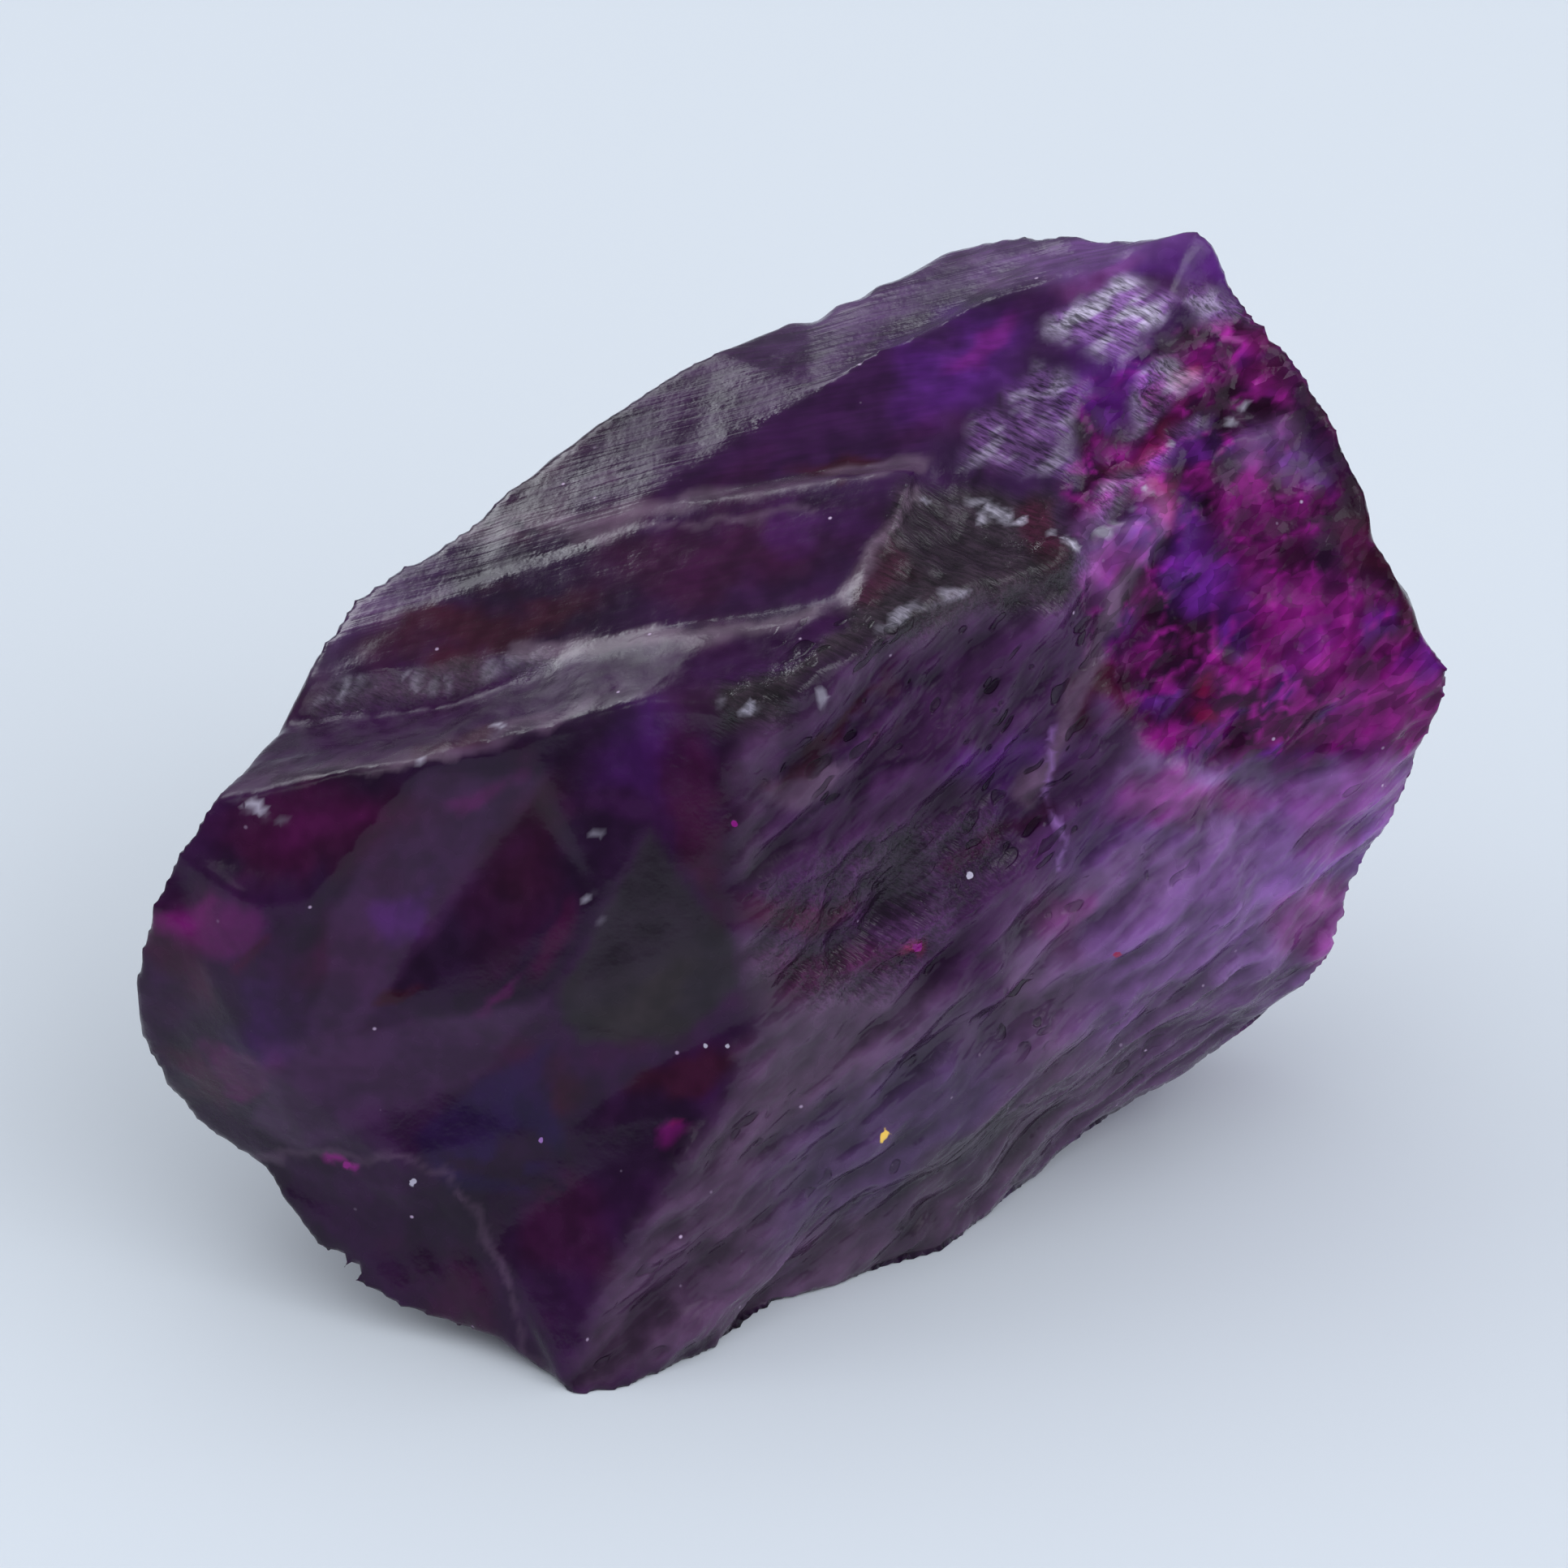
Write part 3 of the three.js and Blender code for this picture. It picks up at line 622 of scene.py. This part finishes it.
def zones(skin):
    """How much each point belongs to each place, 0 to 1."""
    across, up = skin.seen.T
    on = {
        "crumbled": np.minimum(1, skin.within(CRUMBLED, 0.5) * 1.2),
        "right_face": skin.within(RIGHT_FACE, 0.8),
        "shaded": skin.within(SHADED, 1.2),
        "hollow": skin.within(HOLLOW, 0.6),
        "rim": skin.within(RIM, 0.5),
        "ledge": skin.within(LEDGE, 0.3),
        "riser": skin.within(RISER, 0.2),
    }
    on["left"] = skin.front * smoothstep(1, -3, across) * smoothstep(3, 1, up)
    on["behind"] = 1 - skin.front
    on["far_end"] = on["behind"] * smoothstep(2, 16, skin.points[:, 0])
    return on


def break_up(skin, shape):
    """The chips and the small chips on them: size in mm, height, dice and gap to the next."""
    bent = drawn(skin.points + drift(skin.points, 2.0, 3) * 0.3, 0.45)
    # size, lean and bowl of each kind
    kinds = ((shape.chips / MM, 0.26, 0.22), (shape.crumbs / MM, 0.22, 0.25))
    return [(size, *shards(bent, size, lean, bowl)) for size, lean, bowl in kinds]


def carve(skin, on, broken, shape):
    """The relief, as a height over the skin: waves, chips, lumps, ripples and rings."""
    points = skin.points
    skin.height += fractal(points, 3.0, 4) * shape.waves / MM
    crumbled = skin.within(CRUMBLED, 0.9) * skin.facing
    crumbled *= 1 - 0.75 * np.maximum(*(skin.around(*oval) for oval in SMOOTH_OVALS))
    far_end = skin.behind * smoothstep(8, 18, points[:, 0])
    for size, height, dice, gap in broken:
        height = np.clip(height - size * 0.03, -0.16 * size, 0.12 * size)
        skin.height += (crumbled + far_end * 0.5) * skin.eased(height, 2)

    lumps = fractal(points, shape.lumps / MM, 3, 31)
    coarse = sum(on[name] * height for name, height in LUMPY.items())
    for strength, outline in SUGAR.values():
        coarse += skin.within(outline, 0.3) * SUGAR_LUMPS
    skin.height += lumps * coarse

    for width, octaves, shift, pull in SWELLS:
        swell = fractal(drawn(points, pull), width, octaves, shift)
        skin.height += on["right_face"] * swell * shape.ripples / MM
    reach = np.linalg.norm(points - RING_MIDDLE, axis=1) + lumps * 0.15
    rings = sum(np.sin(reach * turns) * strength for turns, strength in RINGS)
    skin.height += skin.within(SCOOP, 0.6) * rings * RING_HEIGHT


def tint(skin, on, broken, look):
    """Colours, as layers painted one over the other."""
    tint_body(skin, on, look)
    tint_crumbled(skin, on, broken, look)
    skin.tint *= (1 - 0.1 * on["left"])[:, None]
    skin.paint(on["rim"] * 0.85, look.smoke)
    skin.paint(on["shaded"] * 0.78, look.dusk)
    for name, across, up, wide, high, turn, strength in BLOTS:
        skin.paint(skin.around(across, up, wide, high, turn) * strength, getattr(look, name))
    # noise that breaks up the painted glints
    glinting = smoothstep(-0.25, 0.15, fractal(skin.points, 0.6, 2, 67))
    # the silver lines are painted highlights and glints
    for name, wide, strength, path in LINES:
        line = skin.along(path, wide) * strength
        skin.paint(line * glinting if name == "silver" else line, getattr(look, name))
    tint_sugar(skin, look)
    # painted shade and light: the tint is darkened in the hollows of the relief and lightened on
    # its ridges
    relief = skin.height - skin.eased(skin.height, 25)
    skin.tint *= (1 + np.clip(relief * 4.5, -0.45, 0.5))[:, None]
    # painted glints: small pale dots
    for name, across, up, radius in GLINTS:
        skin.paint(skin.dot(across, up, radius) * glinting * 0.8, getattr(look, name))
    tint_steps(skin, on, look)
    tint_clouds(skin, on["behind"], skin.points, BEHIND_CLOUDS, look)
    tint_clouds(skin, on["far_end"], drawn(skin.points, 0.45), FAR_END_CLOUDS, look)


def tint_clouds(skin, mask, points, clouds, look):
    """Patches of colour with soft edges."""
    for name, start, end, strength, noise_values in clouds:
        cloud = smoothstep(start, end, fractal(points, *noise_values))
        skin.paint(mask * cloud * strength, getattr(look, name))


def tint_body(skin, on, look):
    """The dark body, the frosted right face with a painted sheen towards its right end, and the
    large facets of the left end, painted lighter or darker as painted reflections.
    """
    across, up = skin.seen.T
    skin.tint[:] = look.night
    tint_clouds(skin, 1, skin.points, BODY_CLOUDS, look)
    skin.paint(smoothstep(-6, 24, skin.points[:, 0]) * 0.26, look.violet)
    skin.paint(on["right_face"] * 0.6, look.mauve)
    # painted reflections on the facets of the left end
    for name, strength, outline in PANELS:
        skin.paint(skin.within(outline, 0.25, 0.5) * strength, getattr(look, name))
    # painted sheen: the right face is lighter towards its right end
    lilac = smoothstep(5, 21, across) * smoothstep(-12, -4, up)
    skin.paint(on["right_face"] * lilac * 0.65, look.lilac)


def tint_crumbled(skin, on, broken, look):
    """Vivid chips, each of its own brightness, with bright edges that are painted highlights, or
    dark edges.
    """
    crumbled = on["crumbled"]
    skin.paint(crumbled * 0.95, look.plum)
    tint_clouds(skin, crumbled, drawn(skin.points, 0.45), CRUMBLED_CLOUDS, look)
    for size, height, dice, gap in broken:
        bright = 0.6 + 0.85 * dice[:, 1] ** 1.5
        skin.tint *= (1 + crumbled * (bright - 1))[:, None]
        edge = crumbled * (1 - smoothstep(0, size * 0.05, gap))
        # painted highlights along the edges of some chips
        skin.paint(edge * (dice[:, 2] > 0.6) * 0.5, look.magenta * 1.5)
        skin.paint(edge * (dice[:, 2] < 0.45) * 0.55, look.night)


def tint_sugar(skin, look):
    """Pale crushed patches near the crown."""
    crushed = fractal(drawn(skin.points, 0.6), 0.8, 3, 53)
    for strength, outline in SUGAR.values():
        sugar = skin.within(outline, 0.4, 1.2)
        skin.paint(sugar * strength * 0.8, look.lilac)
        skin.paint(sugar * smoothstep(0.0, 0.35, crushed) * strength, look.silver)
        skin.raise_to("crush", sugar)


def tint_steps(skin, on, look):
    """The frosted riser with its row of pale dots, which are painted highlights, and the dark ledge
    below it.
    """
    riser = on["riser"]
    skin.paint(riser * 0.05, look.silver)
    # painted highlights: the row of pale dots on the riser
    for step in range(DOTS):
        across, up = (first + step * more for first, more in zip(FIRST_DOT, DOT_STEP))
        spot = skin.around(across, up, 0.22, 0.5, -12)
        skin.paint(spot * riser * (0.36 - 0.02 * step), look.silver)
    skin.paint(on["ledge"] * 0.8, look.dusk)


def roughen(skin, on):
    """Finish: crushed and gritty places, growth lines, haze, dulled shine, streaks and pits."""
    for name, amount in (("riser", 0.4), ("hollow", 0.6), ("rim", 0.6)):
        skin.raise_to("crush", on[name] * amount)
    skin.grit = on["crumbled"] * (1 - skin.crush)
    skin.raise_to("grit", on["far_end"] * 0.6)

    tray, veil = skin.within(TRAY), skin.within(VEIL)
    skin.striae += skin.within(BACK_SLOPE) + veil * 0.7 + tray * 0.35 + on["behind"] * 0.7

    skin.haze += 0.3 + fractal(skin.points, 2.0, 4, 5) * 0.2
    for name, amount in (("ledge", 0.5), ("riser", 0.7), ("rim", 0.4)):
        skin.raise_to("haze", on[name] * amount)
    clean = np.maximum(np.maximum(tray, veil), on["crumbled"])
    clean *= 1 - np.maximum(on["riser"], on["ledge"])
    skin.haze -= skin.haze * clean * 0.75

    for name, amount in (("left", 0.45), ("crumbled", 0.6), ("ledge", 0.6), ("shaded", 0.6)):
        skin.raise_to("dull", on[name] * amount)
    skin.dull *= 1 - skin.crush

    pocked = fractal(skin.points, 3.2, 3, 61)
    skin.streaks += on["right_face"]
    skin.pits = (skin.streaks + on["behind"]) * smoothstep(0.25, 0.5, pocked) * 0.6
    for outline, amount in PITTED.values():
        zone = skin.within(outline, 0.8) * amount
        skin.raise_to("pits", zone * smoothstep(-0.35, 0.1, pocked))


# ---------------------------------------------------------------- material


def node(tree, kind, inputs=None, **settings):
    """A node with its settings, its input values and its links."""
    made = tree.nodes.new(kind)
    for key, value in settings.items():
        setattr(made, key, value)
    for key, value in (inputs or {}).items():
        if isinstance(value, bpy.types.NodeSocket):
            tree.links.new(value, made.inputs[key])
        else:
            made.inputs[key].default_value = value
    return made


def layer(tree, name):
    return node(tree, "ShaderNodeAttribute", attribute_name=name).outputs["Fac"]


def maths(tree, operation, *values):
    made = node(tree, "ShaderNodeMath", dict(enumerate(values)), operation=operation)
    return made.outputs["Value"]


def grain(tree, place, size, detail, roughness=0.55):
    """Even noise with grains of the given size in mm, 0 to 1."""
    inputs = {"Vector": place, "Scale": 1 / (size * MM), "Detail": detail}
    inputs["Roughness"] = roughness
    return node(tree, "ShaderNodeTexNoise", inputs).outputs["Fac"]


def drawn_out(tree, place, turn, sizes):
    """The place measured along a turned grain, in grains of the given sizes in mm."""
    inputs = {"Vector": place, "Rotation": turn, "Scale": [size * MM for size in sizes]}
    return node(tree, "ShaderNodeMapping", inputs, vector_type="TEXTURE").outputs["Vector"]


def between(tree, value, low, high, first=0.0, last=1.0):
    inputs = {"Value": value, "From Min": low, "From Max": high}
    inputs.update({"To Min": first, "To Max": last})
    made = node(tree, "ShaderNodeMapRange", inputs, interpolation_type="SMOOTHSTEP")
    return made.outputs["Result"]


def tilted_chips(tree, place):
    """Small faces that lean at random, a chip for each unit of place: height and brightness."""
    cells = node(tree, "ShaderNodeTexVoronoi", {"Vector": place, "Scale": 1}).outputs
    offset = {0: place, 1: cells["Position"]}
    offset = node(tree, "ShaderNodeVectorMath", offset, operation="SUBTRACT").outputs[0]
    lean = {0: cells["Color"], 1: (0.5, 0.5, 0.5)}
    lean = node(tree, "ShaderNodeVectorMath", lean, operation="SUBTRACT").outputs[0]
    rise = node(tree, "ShaderNodeVectorMath", {0: offset, 1: lean}, operation="DOT_PRODUCT")
    bright = node(tree, "ShaderNodeSeparateColor", {0: cells["Color"]}).outputs[1]
    return rise.outputs["Value"], bright


def moved(tree, operation, *values, **inputs):
    """A vector worked out from other vectors."""
    inputs = {**dict(enumerate(values)), **inputs}
    return node(tree, "ShaderNodeVectorMath", inputs, operation=operation).outputs[0]


def noise_along(tree, place, turn, sizes, **inputs):
    """Noise in grains of the given sizes in mm along a turned grain, 0 to 1."""
    inputs = {"Vector": drawn_out(tree, place, turn, sizes), "Scale": 1, **inputs}
    return node(tree, "ShaderNodeTexNoise", inputs).outputs["Fac"]


def mixed_colour(tree, share, first, second):
    mixed = {0: share, 6: first, 7: second}
    return node(tree, "ShaderNodeMix", mixed, data_type="RGBA").outputs[2]


def slots(tree, place):
    """Small pits drawn out along the streaks, 1 inside them."""
    bent = {"Vector": place, "Scale": 1 / (0.8 * MM), "Detail": 0}
    bent = node(tree, "ShaderNodeTexNoise", bent).outputs["Color"]
    bent = moved(tree, "SCALE", bent, Scale=0.6 * MM)
    bent = moved(tree, "ADD", place, bent)
    cells = {"Vector": drawn_out(tree, bent, STREAK_TURN, (1.9, 0.55, 0.55)), "Scale": 1}
    cells = node(tree, "ShaderNodeTexVoronoi", cells).outputs
    kept = node(tree, "ShaderNodeSeparateColor", {0: cells["Color"]}).outputs[0]
    reach = between(tree, kept, 0, 1, 0.08, 0.5)
    pit = between(tree, maths(tree, "SUBTRACT", reach, cells["Distance"]), 0, 0.12)
    return maths(tree, "MULTIPLY", pit, layer(tree, "Pits"))


def glint_specks(tree, place):
    """Fine pale specks painted into the colour as glints, 1 on them."""
    cells = {"Vector": place, "Scale": 1 / (1.1 * MM)}
    cells = node(tree, "ShaderNodeTexVoronoi", cells).outputs
    chosen = node(tree, "ShaderNodeSeparateColor", {0: cells["Color"]}).outputs
    speck = between(tree, cells["Distance"], 0.03, 0.09, 1, 0)
    speck = maths(tree, "MULTIPLY", speck, maths(tree, "GREATER_THAN", chosen[0], 0.82))
    return maths(tree, "MULTIPLY", speck, chosen[1])


def seen_on(surface, across, up, studio):
    """The place on a surface that is seen that many mm across and up from the aim."""
    back = Vector(towards_camera(studio))
    eye = Vector(AIM) * MM + back * studio.distance
    spot = Vector(AIM) + Vector((across, up * back.z, -up * back.y))
    return surface.ray_cast(eye, spot * MM - eye)[0]


def sparked(tree, place, leather, colour_below, look, studio):
    """The colour with crisp sparks, the silver ones painted glints, which reach through the skin
    wherever it was moved to.
    """
    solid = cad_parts["stone"].data
    corners = [corner.co for corner in solid.vertices]
    surface = BVHTree.FromPolygons(corners, [face.vertices for face in solid.polygons])
    back = Vector(towards_camera(studio))
    depth = moved(tree, "PROJECT", place, back)
    flat = moved(tree, "ADD", place, moved(tree, "SCALE", depth, Scale=-SQUASH))
    uneven = between(tree, leather, 0.35, 0.65, 0.65, 1.35)
    mixed = colour_below
    # the silver sparks are painted glints
    for name, across, up, radius in SPARKS:
        centre = seen_on(surface, across, up, studio)
        reach = {0: flat, 1: centre - SQUASH * back.dot(centre) * back}
        reach = node(tree, "ShaderNodeVectorMath", reach, operation="DISTANCE").outputs["Value"]
        reach = maths(tree, "MULTIPLY", reach, uneven)
        spark = between(tree, reach, radius * 0.85 * MM, radius * 1.15 * MM, 1, 0)
        bright = [min(1, value * SPARK_BRIGHTNESS) for value in getattr(look, name)]
        mixed = mixed_colour(tree, spark, mixed, (*bright, 1))
    return mixed


def corundum(look, studio):
    """Dark purple glassy stone with growth lines, streaks, pits and sugary breaks."""
    material = bpy.data.materials.new("purple_corundum")
    material.use_nodes = True
    tree = material.node_tree
    shader = tree.nodes["Principled BSDF"]
    shader.inputs["IOR"].default_value = look.index
    place = node(tree, "ShaderNodeTexCoord").outputs["Object"]
    tinted = node(tree, "ShaderNodeAttribute", attribute_name="Tint").outputs["Color"]

    growth = noise_along(tree, place, GROWTH_TURN, (6, 0.24, 0.24), Detail=2)
    streaks = noise_along(tree, place, STREAK_TURN, (2.8, 0.8, 0.8), Detail=2)
    crushed = noise_along(tree, place, CRUSH_TURN, (1.1, 0.15, 0.15), Roughness=0.7)
    chips, flecks = tilted_chips(tree, drawn_out(tree, place, STREAK_TURN, (0.8, 0.34, 0.34)))
    leather = grain(tree, place, 0.45, 2)
    pit = slots(tree, place)

    # relief too fine for the mesh: value, height in mm, where
    height = maths(tree, "MULTIPLY", leather, 0.022)
    for value, amount, zone in (
        (growth, 0.028, "Striae"), (streaks, 0.30, "Streaks"), (chips, 0.09, "Grit"),
        (crushed, 0.11, "Crush"),
    ):
        part = maths(tree, "MULTIPLY", maths(tree, "MULTIPLY", value, amount), layer(tree, zone))
        height = maths(tree, "ADD", height, part)
    height = maths(tree, "SUBTRACT", height, maths(tree, "MULTIPLY", pit, 0.12))
    bump = node(tree, "ShaderNodeBump", {"Strength": 1.0, "Distance": MM, "Height": height})
    tree.links.new(bump.outputs["Normal"], shader.inputs["Normal"])

    # how much the same grain darkens and lights the tint: value, darkest, lightest, where
    mottle = between(tree, grain(tree, place, 1.6, 2, 0.6), 0.32, 0.68, 0.75, 1.25)
    for value, low, high, zone in (
        (growth, 0.8, 1.2, "Striae"), (streaks, 0.88, 1.12, "Streaks"),
        (flecks, 0.78, 1.22, "Grit"), (crushed, 0.3, 1.7, "Crush"),
    ):
        part = between(tree, value, 0.3, 0.7, low, high)
        part = node(tree, "ShaderNodeMix", {0: layer(tree, zone), 2: 1.0, 3: part}).outputs[0]
        mottle = maths(tree, "MULTIPLY", mottle, part)
    # painted shade: the tint is darker inside the pits
    mottle = maths(tree, "MULTIPLY", mottle, between(tree, pit, 0, 1, 1, 0.35))
    tinted = moved(tree, "SCALE", tinted, Scale=mottle)
    # painted glints: fine pale specks over the tint
    tinted = mixed_colour(tree, glint_specks(tree, place), tinted, (*look.glint_specks, 1))
    tinted = sparked(tree, place, leather, tinted, look, studio)
    tree.links.new(tinted, shader.inputs["Base Color"])

    rough = between(tree, grain(tree, place, 0.8, 1), 0.3, 0.7, -0.04, 0.06)
    rough = maths(tree, "ADD", rough, maths(tree, "MULTIPLY", layer(tree, "Haze"), 0.35))
    rough = maths(tree, "ADD", rough, look.polish)
    tree.links.new(rough, shader.inputs["Roughness"])
    shine = maths(tree, "SUBTRACT", 1, layer(tree, "Dull"))
    shine = maths(tree, "MULTIPLY", shine, look.shine)
    tree.links.new(shine, shader.inputs["Specular IOR Level"])
    return material


# ---------------------------------------------------------------- studio


class SAPPHIRE_OT_studio(bpy.types.Operator):
    """Sets the floor, lights and camera"""

    bl_idname = "sapphire.studio"
    bl_label = "Set Studio"

    def execute(self, context):
        studio = context.scene.sapphire_studio
        self.lay_sheet(studio)
        self.light_room(studio)
        for card in CARDS:
            self.hang_card(*card)
        self.place_camera(context, studio)
        context.scene.view_settings.view_transform = "Standard"
        return {"FINISHED"}

    def lay_sheet(self, studio):
        bpy.ops.object.select_all(action="DESELECT")
        bpy.ops.mesh.primitive_plane_add(size=SHEET_SIZE, location=SHEET_MIDDLE)
        sheet = bpy.context.object
        sheet.name = "paper_sheet"
        material = bpy.data.materials.new("pale_paper")
        material.use_nodes = True
        shader = material.node_tree.nodes["Principled BSDF"]
        shader.inputs["Base Color"].default_value = (*studio.sheet, 1)
        shader.inputs["Roughness"].default_value = 1.0
        shader.inputs["Specular IOR Level"].default_value = 0.1
        sheet.data.materials.append(material)

    def light_room(self, studio):
        world = bpy.data.worlds.new("Studio")
        bpy.context.scene.world = world
        world.use_nodes = True
        background = world.node_tree.nodes["Background"]
        background.inputs["Color"].default_value = (*studio.room, 1)
        background.inputs["Strength"].default_value = studio.room_light

    def hang_card(self, name, place, size, power, lights, shines):
        data = bpy.data.lights.new(name, "AREA")
        data.shape = "RECTANGLE"
        data.size, data.size_y = size
        data.energy = power
        data.color = CARD_COLOUR
        light = bpy.data.objects.new(name, data)
        bpy.context.scene.collection.objects.link(light)
        light.location = place
        toward = CARDS_FACE - light.location
        light.rotation_euler = toward.to_track_quat("-Z", "Y").to_euler()
        light.visible_camera = False
        light.visible_diffuse = lights
        light.visible_glossy = shines

    def place_camera(self, context, studio):
        data = bpy.data.cameras.new("Camera")
        data.lens = studio.lens
        data.sensor_width = 36
        data.clip_start = 10 * MM
        camera = bpy.data.objects.new("Camera", data)
        context.scene.collection.objects.link(camera)
        back = Vector(towards_camera(studio))
        camera.location = Vector(AIM) * MM + back * studio.distance
        camera.rotation_euler = (-back).to_track_quat("-Z", "Y").to_euler()
        context.scene.camera = camera


CARD_COLOUR = (0.91, 0.95, 1.0)
CARDS_FACE = Vector((0, 0, 0.015))
SHEET_MIDDLE = (0, 0.95, 0)
SHEET_SIZE = 3
# place, width and height in metres, power in watts, and whether it lights and shines
CARDS = (
    ("top_card", (-0.20, 0.0, 1.25), (3.0, 3.0), 20.0, True, False),
    ("left_card", (-1.0, 0.15, 0.75), (0.9, 0.7), 2.2, True, False),
    ("right_card", (1.0, -0.1, 0.90), (1.3, 1.0), 3.4, True, True),
    ("front_card", (0.72, -0.88, 0.75), (1.2, 0.8), 6.4, True, False),
    ("back_card", (-0.88, 1.3, 0.92), (1.08, 0.54), 3.5, False, True),
    ("back_left_card", (-0.62, 0.64, 0.66), (0.45, 0.35), 1.75, False, True),
    ("key_card", (-0.62, -0.26, 0.73), (0.35, 0.35), 0.5, False, True),
    ("fill_card", (0.60, -0.10, 0.80), (0.35, 0.35), 0.8, False, True),
)


class SAPPHIRE_PT_panel(bpy.types.Panel):
    """Lists the steps that build the stone"""

    bl_idname = "SAPPHIRE_PT_panel"
    bl_label = "Rough Sapphire"
    bl_space_type = "VIEW_3D"
    bl_region_type = "UI"
    bl_category = "Sapphire"

    def draw(self, context):
        layout = self.layout
        layout.operator("sapphire.stone")
        layout.operator("sapphire.studio")


SETTINGS = {
    "sapphire_shape": SapphireShape,
    "sapphire_look": SapphireLook,
    "sapphire_studio": SapphireStudio,
}
CLASSES = (
    *SETTINGS.values(),
    SAPPHIRE_OT_stone,
    SAPPHIRE_OT_studio,
    SAPPHIRE_PT_panel,
)


def register():
    for item in CLASSES:
        bpy.utils.register_class(item)
    for name, group in SETTINGS.items():
        setattr(bpy.types.Scene, name, bpy.props.PointerProperty(type=group))


def unregister():
    for name in SETTINGS:
        delattr(bpy.types.Scene, name)
    for item in reversed(CLASSES):
        bpy.utils.unregister_class(item)


def main():
    register()
    bpy.ops.sapphire.stone()
    bpy.ops.sapphire.studio()


if __name__ == "__main__":
    main()
